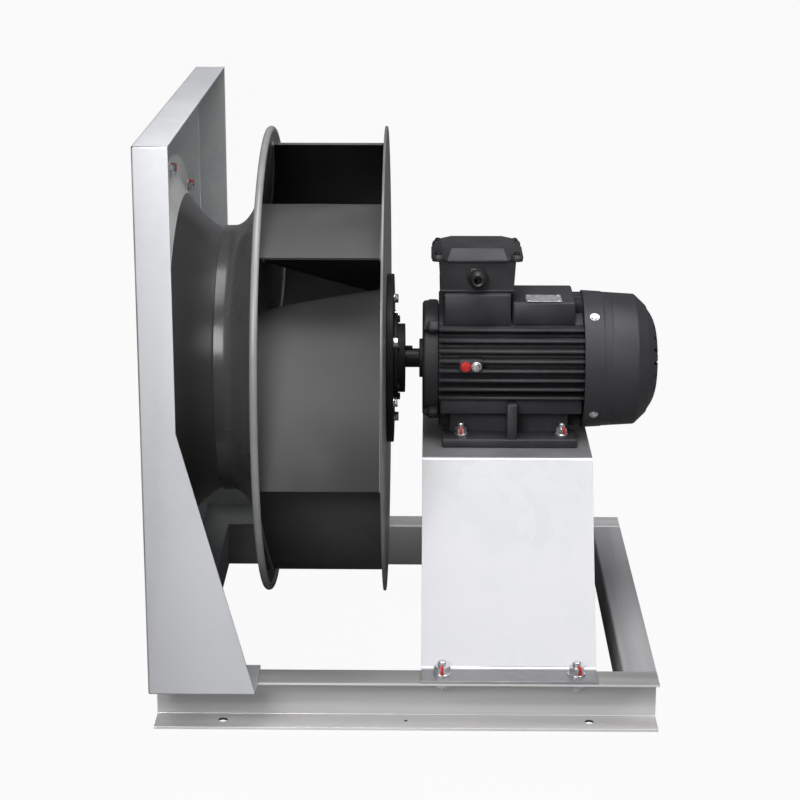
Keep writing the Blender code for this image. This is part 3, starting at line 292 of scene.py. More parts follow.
# Dark copy of the galvanised sheet on the stand's level and inner faces: painted shade.
LEVEL_SHADE = Finish("level_sheet", "galvanised_sheet", (0.22, 0.22, 0.23), (0.27, 0.27, 0.28), (0.36, 0.46),
                     metallic=0.5, cloud=12.0, spangle=110.0, relief=0.04)
HOLE_SHADE = Finish("hole_shade", "base_steel", (0.020, 0.020, 0.020), (0.035, 0.035, 0.035), (0.50, 0.60))
GALVANISED_EDGE = Finish("galvanised_edge", "galvanised_sheet", (0.42, 0.42, 0.44), (0.55, 0.55, 0.57),
                         (0.28, 0.40), metallic=0.6, relief=0.03)
BASE_STEEL = Finish("base_steel", "base_steel", (0.58, 0.57, 0.575), (0.66, 0.65, 0.655), (0.36, 0.50),
                    metallic=0.3, cloud=60.0, stretch=(0.04, 1.0, 1.0), relief=0.06)
# Darker copy of the base steel on the near rail's top faces: painted shade.
RAIL_TOP_SHADE = Finish("rail_top", "base_steel", (0.29, 0.29, 0.285), (0.35, 0.35, 0.345), (0.44, 0.54),
                  metallic=0.2, cloud=60.0, stretch=(0.04, 1.0, 1.0), relief=0.06)
# Near-white copy of the base steel on the near rail's bends and cut edges: a painted highlight.
BASE_EDGE_HIGHLIGHT = Finish("base_edge", "base_steel", (0.80, 0.80, 0.80), (0.92, 0.92, 0.92), (0.25, 0.38),
                   metallic=0.4, cloud=60.0, stretch=(0.04, 1.0, 1.0), relief=0.03)
# Darker copy of the base steel on the end rails: painted shade.
CROSS_STEEL_SHADE = Finish("cross_steel", "base_steel", (0.30, 0.30, 0.31), (0.36, 0.36, 0.37), (0.54, 0.62),
                     metallic=0.05, cloud=60.0, stretch=(1.0, 0.04, 1.0), relief=0.06, specular=0.35)
CONE_PAINT = Finish("cone_paint", "cone_paint", (0.068, 0.068, 0.070), (0.076, 0.076, 0.078), (0.28, 0.30),
                    grain=260.0, relief=0.05, coat=0.4)
# Light copy of the cone paint on the flange ring and the start of the bell: a painted reflection.
CONE_RIM_REFLECTION = Finish("cone_rim", "cone_paint", (0.56, 0.56, 0.56), (0.64, 0.64, 0.64), (0.34, 0.44),
                  grain=260.0, relief=0.06)
WHEEL_PAINT = Finish("wheel_paint", "wheel_paint", (0.070, 0.070, 0.072), (0.080, 0.080, 0.080), (0.27, 0.29),
                     grain=300.0, relief=0.05, coat=0.4)
BLADE_PAINT = Finish("blade_paint", "wheel_paint", (0.062, 0.062, 0.063), (0.084, 0.084, 0.084), (0.50, 0.62),
                     cloud=8.0, grain=420.0, relief=0.12, specular=0.35)
# Near-black copy of the blade paint on the blades' inner sides: painted shade.
BLADE_INNER_SHADE = Finish("blade_inner", "wheel_paint", (0.012, 0.012, 0.012), (0.018, 0.018, 0.018), (0.50, 0.60),
                     cloud=8.0, grain=420.0, relief=0.12, specular=0.2)
# Much lighter copy of the wheel paint on the rolled rim: a painted highlight; the welds take it too.
RIM_HIGHLIGHT_PAINT = Finish("rim_paint", "wheel_paint", (0.24, 0.24, 0.24), (0.30, 0.30, 0.30), (0.30, 0.36),
                   grain=300.0, relief=0.10, coat=0.3)
# Lighter copy of the wheel paint on the backplate: a painted highlight for its lit edge.
PLATE_HIGHLIGHT_PAINT = Finish("plate_paint", "wheel_paint", (0.135, 0.135, 0.135), (0.155, 0.155, 0.155), (0.32, 0.35),
                     grain=300.0, relief=0.08, coat=0.2)
HUB_BLACK = Finish("hub_black", "hub_black", (0.004, 0.004, 0.004), (0.009, 0.009, 0.009), (0.45, 0.60),
                   relief=0.10, specular=0.3)
CASTING = Finish("casting", "motor_casting_paint", (0.023, 0.023, 0.026), (0.034, 0.034, 0.038), (0.48, 0.60),
                 cloud=20.0, grain=620.0, relief=0.22, specular=0.42)
COVER_PAINT = Finish("cover_paint", "motor_cover_paint", (0.027, 0.026, 0.030), (0.035, 0.034, 0.039),
                     (0.46, 0.54), grain=420.0, relief=0.08, specular=0.42)
BRIGHT_STEEL = Finish("bright_steel", "bright_steel", (0.50, 0.50, 0.50), (0.64, 0.64, 0.64), (0.22, 0.36),
                      metallic=1.0, stretch=(1.0, 0.2, 0.2), cloud=200.0)
SHAFT_STEEL = Finish("shaft_steel", "bright_steel", (0.012, 0.012, 0.013), (0.028, 0.028, 0.03), (0.30, 0.45),
                     metallic=0.6, stretch=(1.0, 0.2, 0.2), cloud=200.0)
ZINC = Finish("zinc", "zinc_plate", (0.62, 0.63, 0.66), (0.80, 0.80, 0.82), (0.20, 0.36), metallic=0.9,
              cloud=90.0, relief=0.05)
COPPER = Finish("copper", "winding_copper", (0.42, 0.18, 0.08), (0.60, 0.28, 0.14), (0.35, 0.55),
                metallic=0.6, stretch=(0.2, 1.0, 1.0), cloud=300.0)
PLASTIC = Finish("plastic", "black_plastic", (0.012, 0.012, 0.012), (0.024, 0.024, 0.024), (0.38, 0.52),
                 grain=900.0, relief=0.10)
BARE_PLATE = Finish("bare_plate", "bare_plate", (0.40, 0.40, 0.41), (0.62, 0.62, 0.63), (0.32, 0.55),
                    metallic=0.7, cloud=260.0, grain=1200.0, relief=0.25)
RED_LACQUER = Finish("red_lacquer", "red_lacquer", (0.38, 0.012, 0.012), (0.58, 0.030, 0.025), (0.30, 0.50),
                     cloud=400.0, relief=0.15)


@dataclass(frozen=True)
class Layout:
    """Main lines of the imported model."""

    front: float
    axis: float

    @classmethod
    def read(cls, frame: dict) -> "Layout":
        """Take the panel's outer face and the shaft height from the frame.


        Returns:
            The layout.
        """
        spin = next(joint for joint in frame["joints"] if joint["name"] == "rotor_spin")
        return cls(front=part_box("inlet_panel")[0].x, axis=spin["pos_m"][2])

    def at(self, station: float) -> float:
        """World X of a station."""
        return self.front + station

    def round_shaft(self, station: float, radius: float, angle: float) -> Vector:
        """World point at a radius from the shaft and an angle up from the near side."""
        return Vector((self.at(station), -radius * math.cos(angle), self.axis + radius * math.sin(angle)))


def wrap(name: str, form: bmesh.types.BMesh, *finishes: Finish, sharp: float = 35.0) -> bpy.types.Object:
    """Make an object of a form, shaded smooth up to an angle.

    Args:
        name: Name of the piece.
        form: The form, which is freed.
        *finishes: Finishes in the order of the faces' material numbers.
        sharp: Angle in degrees from which an edge stays sharp.

    Returns:
        The object, linked to the scene.
    """
    data = bpy.data.meshes.new(name)
    form.to_mesh(data)
    form.free()
    data.shade_smooth()
    data.set_sharp_from_angle(angle=math.radians(sharp))
    for finish in finishes:
        data.materials.append(finish.material())
    item = bpy.data.objects.new(name, data)
    bpy.context.scene.collection.objects.link(item)
    return item


def settle(item: bpy.types.Object, body: Body, replaced: Sequence[str] = ()) -> bpy.types.Object:
    """Put a finished piece on its body and hide the model nodes that it stands for.

    Args:
        item: The piece.
        body: Body that carries it.
        replaced: Model nodes that it stands for.

    Returns:
        The same piece.
    """
    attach(item, body.value)
    if replaced:
        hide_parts(*replaced)
    LOG.info("%s: %d faces on %s", item.name, len(item.data.polygons), body.value)
    return item


def baked(item: bpy.types.Object) -> bpy.types.Object:
    """Replace an object by a plain mesh of what its modifiers make.

    Args:
        item: Object with modifiers, which is removed.

    Returns:
        A new object of the same name without modifiers.
    """
    bpy.context.view_layer.update()
    graph = bpy.context.evaluated_depsgraph_get()
    data = bpy.data.meshes.new_from_object(item.evaluated_get(graph))
    name = item.name
    old = item.data
    bpy.data.objects.remove(item)
    bpy.data.meshes.remove(old)
    data.name = name
    made = bpy.data.objects.new(name, data)
    bpy.context.scene.collection.objects.link(made)
    return made


def round_edges(item: bpy.types.Object, width: float, segments: int = 2, angle: float = 40.0
                ) -> bpy.types.Object:
    """Round the edges of a piece and keep its flat faces flat.

    Args:
        item: The piece, which is replaced by its result.
        width: Width of the rounding.
        segments: Faces across the rounding.
        angle: Angle in degrees from which an edge is rounded.

    Returns:
        The new piece.
    """
    step = item.modifiers.new("round", "BEVEL")
    step.width = width
    step.segments = segments
    step.limit_method = "ANGLE"
    step.angle_limit = math.radians(angle)
    step.use_clamp_overlap = False
    step.harden_normals = True
    return baked(item)


def gather(name: str, items: Iterable[bpy.types.Object], sharp: float = 35.0) -> bpy.types.Object:
    """Join pieces with their materials into one.

    Args:
        name: Name of the joined piece.
        items: Pieces, which are removed.
        sharp: Angle in degrees from which an edge stays sharp.

    Returns:
        The joined piece.
    """
    form = bmesh.new()
    paints: list[bpy.types.Material] = []
    for item in items:
        first = len(form.faces)
        form.from_mesh(item.data)
        form.faces.ensure_lookup_table()
        numbers = []
        for paint in item.data.materials:
            if paint not in paints:
                paints.append(paint)
            numbers.append(paints.index(paint))
        for face in form.faces[first:]:
            face.material_index = numbers[face.material_index] if numbers else 0
        bpy.data.objects.remove(item)
    made = wrap(name, form, sharp=sharp)
    for paint in paints:
        made.data.materials.append(paint)
    return made


def filleted(points: Outline, radius: float, steps: int = 4, ring: bool = True) -> Outline:
    """Round the corners of an outline.

    Args:
        points: Corners in order.
        radius: Distance from a corner at which its rounding starts, less where a side is short.
        steps: Points along each rounding.
        ring: Whether the last corner joins the first.

    Returns:
        The rounded outline.
    """
    result: Outline = []
    count = len(points)
    for index, point in enumerate(points):
        if not ring and index in (0, count - 1):
            result.append(point)
            continue
        here = Vector(point)
        before, after = Vector(points[index - 1]), Vector(points[(index + 1) % count])
        reach = min(radius, (before - here).length / 2.2, (after - here).length / 2.2)
        start = here + (before - here).normalized() * reach
        end = here + (after - here).normalized() * reach
        for step in range(steps + 1):
            share = step / steps
            low = start.lerp(here, share)
            high = here.lerp(end, share)
            result.append(tuple(low.lerp(high, share)))
    return result


def turned(name: str, layout: Layout, outline: Outline, *finishes: Finish, sides: int = 128,
           ring: bool = True, sharp: float = 35.0) -> bpy.types.Object:
    """Turn an outline of (station, radius) points about the shaft.

    Args:
        name: Name of the piece.
        layout: Lines of the model.
        outline: Closed outline, or one that starts and ends on the axis where ring is false.
        *finishes: Finishes of the piece.
        sides: Steps round the shaft.
        ring: Whether the outline is closed.
        sharp: Angle in degrees from which an edge stays sharp.

    Returns:
        The piece.
    """
    form = bmesh.new()
    rows = []
    for station, radius in outline:
        if radius < TINY:
            rows.append([form.verts.new(layout.round_shaft(station, 0.0, 0.0))] * sides)
        else:
            rows.append([form.verts.new(layout.round_shaft(station, radius, 2 * math.pi * step / sides))
                         for step in range(sides)])
    pairs = list(zip(rows, rows[1:]))
    if ring:
        pairs.append((rows[-1], rows[0]))
    for low, high in pairs:
        for step in range(sides):
            following = (step + 1) % sides
            corners = [low[step], low[following], high[following], high[step]]
            corners = list(dict.fromkeys(corners))
            if len(corners) > 2:
                form.faces.new(corners)
    bmesh.ops.recalc_face_normals(form, faces=form.faces)
    return wrap(name, form, *finishes, sharp=sharp)


def block(low: Vector, high: Vector, finish: Finish, width: float = 0.0012) -> bpy.types.Object:
    """A cast block with rounded edges.

    Args:
        low: Lowest corner.
        high: Highest corner.
        finish: Finish of the block.
        width: Width of the rounding.

    Returns:
        The block.
    """
    form = bmesh.new()
    bmesh.ops.create_cube(form, size=1.0)
    bmesh.ops.scale(form, vec=high - low, verts=form.verts)
    bmesh.ops.translate(form, vec=(low + high) / 2, verts=form.verts)
    return round_edges(wrap("block", form, finish), width, segments=3)


def model_form(frame: dict, node: str) -> bmesh.types.BMesh:
    """Copy a node's mesh with its loose triangles merged into flat faces.

    Args:
        node: Name of the node.

    Returns:
        The merged form.
    """
    form = bmesh.new()
    form.from_mesh(frame["nodes"][node].data)
    bmesh.ops.remove_doubles(form, verts=form.verts, dist=TINY)
    bmesh.ops.dissolve_limit(form, angle_limit=math.radians(0.5), verts=form.verts, edges=form.edges)
    return form


def folded_sheet(frame: dict, node: str, plain: Finish, edge: Finish, hidden: Finish, sheet: float
                 ) -> bpy.types.Object:
    """Dress a folded sheet: its bends and cut edges differ, and its hole walls and hidden faces take painted
    shade.

    Args:
        node: Node of the sheet, which the piece stands for.
        plain: Finish of the faces.
        edge: Finish of the bends and cut edges, a painted highlight on the near rail.
        hidden: Finish of the level faces, and of those inside a tray: painted shade where it is darker.
        sheet: Thickness of the sheet.

    Returns:
        The dressed piece.
    """
    form = model_form(frame, node)
    low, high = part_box(node)
    for face in form.faces:
        longest = max(side.calc_length() for side in face.edges)
        spot = face.calc_center_median()
        # Short faces are hole walls in painted shade; narrow long ones are bends and cut edges; level and
        # inner faces take the hidden finish, painted shade.
        if longest < 2.2 * sheet:
            face.material_index = 2
        elif face.calc_area() / longest < 1.3 * sheet and longest > 8 * sheet:
            face.material_index = 1
        elif is_level(face, spot, high, hidden):
            face.material_index = 3
        elif hidden is not RAIL_TOP_SHADE and is_inside(face, spot, low, high):
            face.material_index = 3
    item = wrap(f"{node}_sheet", form, plain, edge, HOLE_SHADE, hidden, sharp=50.0)
    item = round_edges(item, 0.0004, angle=60.0)
    return settle(item, Body.ROOT, [node])


def is_level(face: bmesh.types.BMFace, spot: Vector, high: Vector, hidden: Finish) -> bool:
    """Whether a face is level: any of the stand, the top of a rail, but not the outer top of the tray.

    Args:
        face: The face.
        spot: Middle of the face.
        high: Highest corner of the part.
        hidden: Finish that such faces take, painted shade where it is darker.

    Returns:
        True for a level face.
    """
    at_top = spot.z > high.z - TINY
    return abs(face.normal.z) > 0.9 and (hidden is LEVEL_SHADE or at_top == (hidden is RAIL_TOP_SHADE))


def is_inside(face: bmesh.types.BMFace, spot: Vector, low: Vector, high: Vector) -> bool:
    """Whether an upright face looks inwards across its sheet metal part.

    Args:
        face: The face.
        spot: Middle of the face.
        low: Lowest corner of the part.
        high: Highest corner of the part.

    Returns:
        True where the face looks at the middle of the part, along X from its front or along Y.
    """
    middle = (low + high) / 2
    across = face.normal.y * (spot.y - middle.y) < 0 and abs(face.normal.y) > 0.7
    return across or face.normal.x > 0.9 and spot.x < middle.x


class Repeats:
    """Geometry node trees for what repeats or follows a path."""

    @staticmethod
    def tree(name: str, sockets: dict[str, str]) -> tuple[Graph, bpy.types.Node]:
        """Start a tree with named inputs.

        Args:
            name: Name of the tree.
            sockets: Names of the inputs and their socket types.

        Returns:
            The graph and its input node.
        """
        group = bpy.data.node_groups.new(name, "GeometryNodeTree")
        group.interface.new_socket(name="Geometry", in_out="OUTPUT", socket_type="NodeSocketGeometry")
        group.interface.new_socket(name="Geometry", in_out="INPUT", socket_type="NodeSocketGeometry")
        for label, kind in sockets.items():
            group.interface.new_socket(name=label, in_out="INPUT", socket_type=f"NodeSocket{kind}")
        graph = Graph(group)
        return graph, graph.add("NodeGroupInput")

    @staticmethod
    def close(graph: Graph, geometry: bpy.types.NodeSocket, finish: bpy.types.NodeSocket) -> None:
        """End a tree in real meshes with a material.

        Args:
            graph: The graph.
            geometry: Socket of the geometry.
            finish: Socket of the material.
        """
        real = graph.put(graph.add("GeometryNodeRealizeInstances"), Geometry=geometry)
        dressed = graph.put(graph.add("GeometryNodeSetMaterial"), Geometry=real.outputs[0], Material=finish)
        graph.put(graph.add("NodeGroupOutput"), Geometry=dressed.outputs[0])

    @classmethod
    def fasteners(cls) -> bpy.types.NodeTree:
        """Tree that sets one fastener on each point, turned as the point's attribute says."""
        found = bpy.data.node_groups.get("fastener_row")
        if found:
            return found
        graph, start = cls.tree("fastener_row", {"Fastener": "Object", "Size": "Float", "Finish": "Material"})
        points = graph.put(graph.add("GeometryNodeMeshToPoints"), Mesh=start.outputs["Geometry"])
        shape = graph.put(graph.add("GeometryNodeObjectInfo"), Object=start.outputs["Fastener"])
        turn = graph.put(graph.add("GeometryNodeInputNamedAttribute", data_type="FLOAT_VECTOR"), Name="turn")
        angles = graph.put(graph.add("FunctionNodeEulerToRotation"), Euler=turn.outputs["Attribute"])
        row = graph.put(graph.add("GeometryNodeInstanceOnPoints"), Points=points.outputs[0],
                        Instance=shape.outputs["Geometry"], Rotation=angles.outputs[0],
                        Scale=start.outputs["Size"])
        cls.close(graph, row.outputs[0], start.outputs["Finish"])
        return graph.tree

    @classmethod
    def beads(cls) -> bpy.types.NodeTree:
        """Tree that lays a round bead along every edge of a mesh."""
        found = bpy.data.node_groups.get("bead")
        if found:
            return found
        graph, start = cls.tree("bead", {"Radius": "Float", "Sides": "Int", "Finish": "Material"})
        path = graph.put(graph.add("GeometryNodeMeshToCurve"), Mesh=start.outputs["Geometry"])
        ring = graph.put(graph.add("GeometryNodeCurvePrimitiveCircle"), Resolution=start.outputs["Sides"],
                         Radius=start.outputs["Radius"])
        tube = graph.put(graph.add("GeometryNodeCurveToMesh"), Curve=path.outputs[0],
                         Profile_Curve=ring.outputs[0], Fill_Caps=True)
        cls.close(graph, tube.outputs[0], start.outputs["Finish"])
        return graph.tree

    @classmethod
    def fins(cls) -> bpy.types.NodeTree:
        """Tree of parallel fins that end on a circle round the shaft."""
        found = bpy.data.node_groups.get("fins")
        if found:
            return found
        names = {"Fins": "Int", "Pitch": "Float", "Lift": "Float", "Thickness": "Float", "Length": "Float",
                 "Root": "Float", "Tip": "Float", "Finish": "Material"}
        graph, start = cls.tree("fins", names)
        maths = graph.maths
        count, pitch = start.outputs["Fins"], start.outputs["Pitch"]
        lowest = maths("MULTIPLY", maths("MULTIPLY", maths("SUBTRACT", count, 1.0), pitch), -0.5)
        index = graph.add("GeometryNodeInputIndex").outputs[0]
        height = maths("ADD", maths("ADD", lowest, start.outputs["Lift"]), maths("MULTIPLY", index, pitch))
        inner, outer = (cls._level_reach(graph, start.outputs[name], height) for name in ("Root", "Tip"))
        spot = graph.put(graph.add("ShaderNodeCombineXYZ"), Z=height,
                         Y=maths("MULTIPLY", maths("ADD", inner, outer), -0.5))
        size = graph.put(graph.add("ShaderNodeCombineXYZ"), X=start.outputs["Length"],
                         Y=maths("SUBTRACT", outer, inner), Z=start.outputs["Thickness"])
        line = graph.put(graph.add("GeometryNodeMeshLine"), Count=count, Offset=(0.0, 0.0, 0.0))
        moved = graph.put(graph.add("GeometryNodeSetPosition"), Geometry=line.outputs[0],
                          Position=spot.outputs[0])
        cube = graph.add("GeometryNodeMeshCube")
        row = graph.put(graph.add("GeometryNodeInstanceOnPoints"), Points=moved.outputs[0],
                        Instance=cube.outputs[0], Scale=size.outputs[0])
        cls.close(graph, row.outputs[0], start.outputs["Finish"])
        return graph.tree

    @staticmethod
    def _level_reach(graph: Graph, radius: bpy.types.NodeSocket, height: bpy.types.NodeSocket
                     ) -> bpy.types.NodeSocket:
        """How far a circle round the shaft reaches sideways at a height."""
        square = graph.maths("SUBTRACT", graph.maths("MULTIPLY", radius, radius),
                             graph.maths("MULTIPLY", height, height))
        return graph.maths("SQRT", graph.maths("MAXIMUM", square, 0.0))

    @classmethod
    def slots(cls) -> bpy.types.NodeTree:
        """Tree that cuts radial slots through a turned shell."""
        found = bpy.data.node_groups.get("radial_slots")
        if found:
            return found
        names = {"Slots": "Int", "Inner": "Float", "Outer": "Float", "Width": "Float", "Depth": "Float",
                 "Centre": "Vector", "Finish": "Material"}
        graph, start = cls.tree("radial_slots", names)
        count = start.outputs["Slots"]
        line = graph.put(graph.add("GeometryNodeMeshLine"), Count=count, Offset=(0.0, 0.0, 0.0))
        index = graph.add("GeometryNodeInputIndex").outputs[0]
        maths, inner, outer = graph.maths, start.outputs["Inner"], start.outputs["Outer"]
        angle = maths("MULTIPLY", maths("ADD", index, 0.5), maths("DIVIDE", 2 * math.pi, count))
        spin = graph.put(graph.add("ShaderNodeCombineXYZ"), X=angle)
        size = graph.put(graph.add("ShaderNodeCombineXYZ"), X=start.outputs["Depth"],
                         Y=maths("SUBTRACT", outer, inner), Z=start.outputs["Width"])
        middle = maths("MULTIPLY", maths("ADD", outer, inner), 0.5)
        spot = graph.put(graph.add("ShaderNodeCombineXYZ"), Y=middle)
        cube = graph.put(graph.add("GeometryNodeMeshCube"), Size=size.outputs[0])
        cutter = graph.put(graph.add("GeometryNodeTransform"), Geometry=cube.outputs[0],
                           Translation=spot.outputs[0])
        angles = graph.put(graph.add("FunctionNodeEulerToRotation"), Euler=spin.outputs[0])
        row = graph.put(graph.add("GeometryNodeInstanceOnPoints"), Points=line.outputs[0],
                        Instance=cutter.outputs[0], Rotation=angles.outputs[0])
        placed = graph.put(graph.add("GeometryNodeTransform"), Geometry=row.outputs[0],
                           Translation=start.outputs["Centre"])
        cutters = graph.put(graph.add("GeometryNodeRealizeInstances"), Geometry=placed.outputs[0])
        cut = graph.add("GeometryNodeMeshBoolean", operation="DIFFERENCE", solver="EXACT")
        graph.tree.links.new(start.outputs["Geometry"], cut.inputs[0])
        graph.tree.links.new(cutters.outputs[0], cut.inputs[1])
        cls.close(graph, cut.outputs[0], start.outputs["Finish"])
        return graph.tree

    @staticmethod
    def run(item: bpy.types.Object, tree: bpy.types.NodeTree, values: dict[str, object],
            rounding: float = 0.0, sharp: float = 35.0) -> bpy.types.Object:
        """Run a tree on an object and keep its result as a plain mesh.

        Args:
            item: The object.
            tree: The tree.
            values: Values of the tree's named inputs.
            rounding: Width of a rounding after the tree, or zero.
            sharp: Angle in degrees from which an edge stays sharp.

        Returns:
            The new piece.
        """
        step = item.modifiers.new(tree.name, "NODES")
        step.node_group = tree
        for socket in tree.interface.items_tree:
            if socket.item_type == "SOCKET" and socket.in_out == "INPUT" and socket.name in values:
                step[socket.identifier] = values[socket.name]
        item.update_tag()
        made = round_edges(item, rounding) if rounding else baked(item)
        made.data.shade_smooth()
        made.data.set_sharp_from_angle(angle=math.radians(sharp))
        return made


@dataclass(frozen=True)
class Seat:
    """Where a fastener sits: its point, the way its head looks and its turn about that way."""

    point: Vector
    way: Vector
    turn: float = 0.0

    def angles(self) -> Euler:
        """Angles that stand a shape on this seat."""
        lean = self.way.to_track_quat("Z", "Y").to_matrix()
        return (lean @ Matrix.Rotation(self.turn, 3, "Z")).to_euler()


def strip(form: bmesh.types.BMesh, low: Sequence[bmesh.types.BMVert], high: Sequence[bmesh.types.BMVert]
          ) -> None:
    """Join two rings of as many points by a band of faces."""
    for step in range(len(low)):
        following = (step + 1) % len(low)
        form.faces.new([low[step], low[following], high[following], high[step]])


def closed_body(form: bmesh.types.BMesh, rings: list[list[bmesh.types.BMVert]]) -> None:
    """Join rings of points into a body with two flat ends."""
    for low, high in zip(rings, rings[1:]):
        strip(form, low, high)
    form.faces.new(rings[0])
    form.faces.new(rings[-1])


@dataclass
class Fastener:
    """A screw or bolt with its washer, head and nut, seated at its own z 0."""

    flats: float
    head: float
    kind: Head = Head.HEXAGON
    washer: float = 0.0
    sheet: float = 0.002
    grip: float = 0.0
    tail: float = 0.003
    shank: float = 0.004
    stud: float = 0.0

    def shape(self) -> bpy.types.Object:
        """Model one fastener as a helper object.

        Returns:
            The helper, which looks along +Z.
        """
        form = bmesh.new()
        lift = self.sheet if self.washer else 0.0
        if self.washer:
            self._disc(form, [(self.washer, 0.0), (self.washer, lift * 0.7),
                              (self.washer - lift * 0.3, lift)], 32)
        if self.kind is Head.HEXAGON:
            self._hexagon(form, lift, lift + self.head, 1)
            if self.grip:
                self._hexagon(form, -self.grip, -self.grip - self.head, -1)
                low = -self.grip - self.head - self.tail
                self._disc(form, [(self.shank, low), (self.shank, 0.0)], 20)
            if self.stud:
                top = lift + self.head
                self._disc(form, [(self.shank, top), (self.shank, top + self.stud - 0.0008),
                                  (self.shank - 0.0008, top + self.stud)], 20)
        else:
            radius = self.flats / 2
            rows = [(radius, lift), (radius, lift + self.head * 0.45),
                    (radius * 0.82, lift + self.head * 0.85), (radius * 0.4, lift + self.head)]
            self._disc(form, rows, self.kind.value)
            self._recess(form, radius, lift + self.head)
        bmesh.ops.recalc_face_normals(form, faces=form.faces)
        return wrap("fastener", form)

    def _hexagon(self, form: bmesh.types.BMesh, low: float, high: float, way: int) -> None:
        """Add a hexagon whose outer corners are cut by a cone."""
        corner = self.flats / math.sqrt(3)
        rim = high - way * (corner - self.flats / 2) * 0.6
        rows = [[], [], []]
        for step in range(12):
            angle = math.pi * step / 6
            reach = corner if step % 2 == 0 else self.flats / 2
            level = rim if step % 2 == 0 else high - way * 0.0001
            for row, (radius, up) in zip(rows, ((reach, low), (reach, level), (self.flats / 2 * 0.94, high))):
                row.append(form.verts.new((radius * math.cos(angle), radius * math.sin(angle), up)))
        closed_body(form, rows)

    @staticmethod
    def _disc(form: bmesh.types.BMesh, rows: Outline, sides: int) -> None:
        """Add a turned disc from rows of (radius, height)."""
        rings = []
        for radius, up in rows:
            angles = [2 * math.pi * step / sides for step in range(sides)]
            rings.append([form.verts.new((radius * math.cos(a), radius * math.sin(a), up)) for a in angles])
        closed_body(form, rings)

    @staticmethod
    def _recess(form: bmesh.types.BMesh, radius: float, top: float) -> None:
        """Add the raised edges of a cross recess."""
        for turn in (0.0, math.pi / 2):
            size = Matrix.Diagonal((radius * 1.1, radius * 0.22, radius * 0.12, 1.0))
            spot = Matrix.Translation((0.0, 0.0, top)) @ Matrix.Rotation(turn, 4, "Z")
            bmesh.ops.create_cube(form, size=1.0, matrix=spot @ size)

    def place(self, name: str, seats: Sequence[Seat], finish: Finish) -> bpy.types.Object:
        """Set this fastener on every seat.

        Args:
            name: Name of the group.
            seats: The seats.
            finish: Finish of the group.

        Returns:
            One piece with all the fasteners.
        """
        return set_on_seats(name, self.shape(), seats, finish)


def set_on_seats(name: str, shape: bpy.types.Object, seats: Sequence[Seat], finish: Finish
                 ) -> bpy.types.Object:
    """Repeat a helper shape on seats and remove the helper.

    Args:
        name: Name of the group.
        shape: Helper that looks along +Z.
        seats: The seats.
        finish: Finish of the group.

    Returns:
        One piece with all the copies.
    """
    data = bpy.data.meshes.new(name)
    data.from_pydata([seat.point for seat in seats], [], [])
    turns = data.attributes.new("turn", "FLOAT_VECTOR", "POINT")
    for entry, seat in zip(turns.data, seats):
        entry.vector = seat.angles()
    item = bpy.data.objects.new(name, data)
    bpy.context.scene.collection.objects.link(item)
    values = {"Fastener": shape, "Size": 1.0, "Finish": finish.material()}
    made = Repeats.run(item, Repeats.fasteners(), values, sharp=30.0)
    bpy.data.objects.remove(shape)
    return made


def torque_mark(flats: float, head: float, washer: float) -> bpy.types.Object:
    """A stroke of red lacquer over a bolt head and down to its washer.

    Args:
        flats: Width of the hexagon over its flats.
        head: Height of the head above the seat.
        washer: Radius that the stroke ends at.

    Returns:
        A helper that looks along +Z, with its stroke on the +Y side.
    """
    form = bmesh.new()
    width, skin = 0.0046, 0.0004
    half = flats / 2
    path = [(-half * 0.35, head + skin), (half * 0.95, head + skin), (half + skin * 2, head * 0.75),
            (half + skin * 2, 0.0024), (washer * 0.97, 0.0024)]
    rows = []
    for index, (along, up) in enumerate(path):
        share = width / 2 * (0.8 + 0.25 * math.sin(2.3 * index))
        rows.append([form.verts.new((side * share, along + lift, up + lift))
                     for side, lift in ((-1, 0.0), (1, 0.0), (1, skin), (-1, skin))])
    closed_body(form, rows)
    bmesh.ops.recalc_face_normals(form, faces=form.faces)
    return wrap("mark", form, sharp=60.0)


def marked_bolts(name: str, marks: str, bolt: Fastener, seats: Sequence[Seat], nodes: Sequence[str] = ()
                 ) -> None:
    """Set zinc plated bolts on their seats, each with a torque mark.

    Args:
        name: Name of the bolts.
        marks: Name of their marks.
        bolt: The fastener.
        seats: The seats.
        nodes: Model nodes that the bolts stand for.
    """
    settle(bolt.place(name, seats, ZINC), Body.ROOT, nodes)
    stroke = torque_mark(bolt.flats, bolt.sheet + bolt.head, bolt.washer)
    settle(set_on_seats(marks, stroke, seats, RED_LACQUER), Body.ROOT)


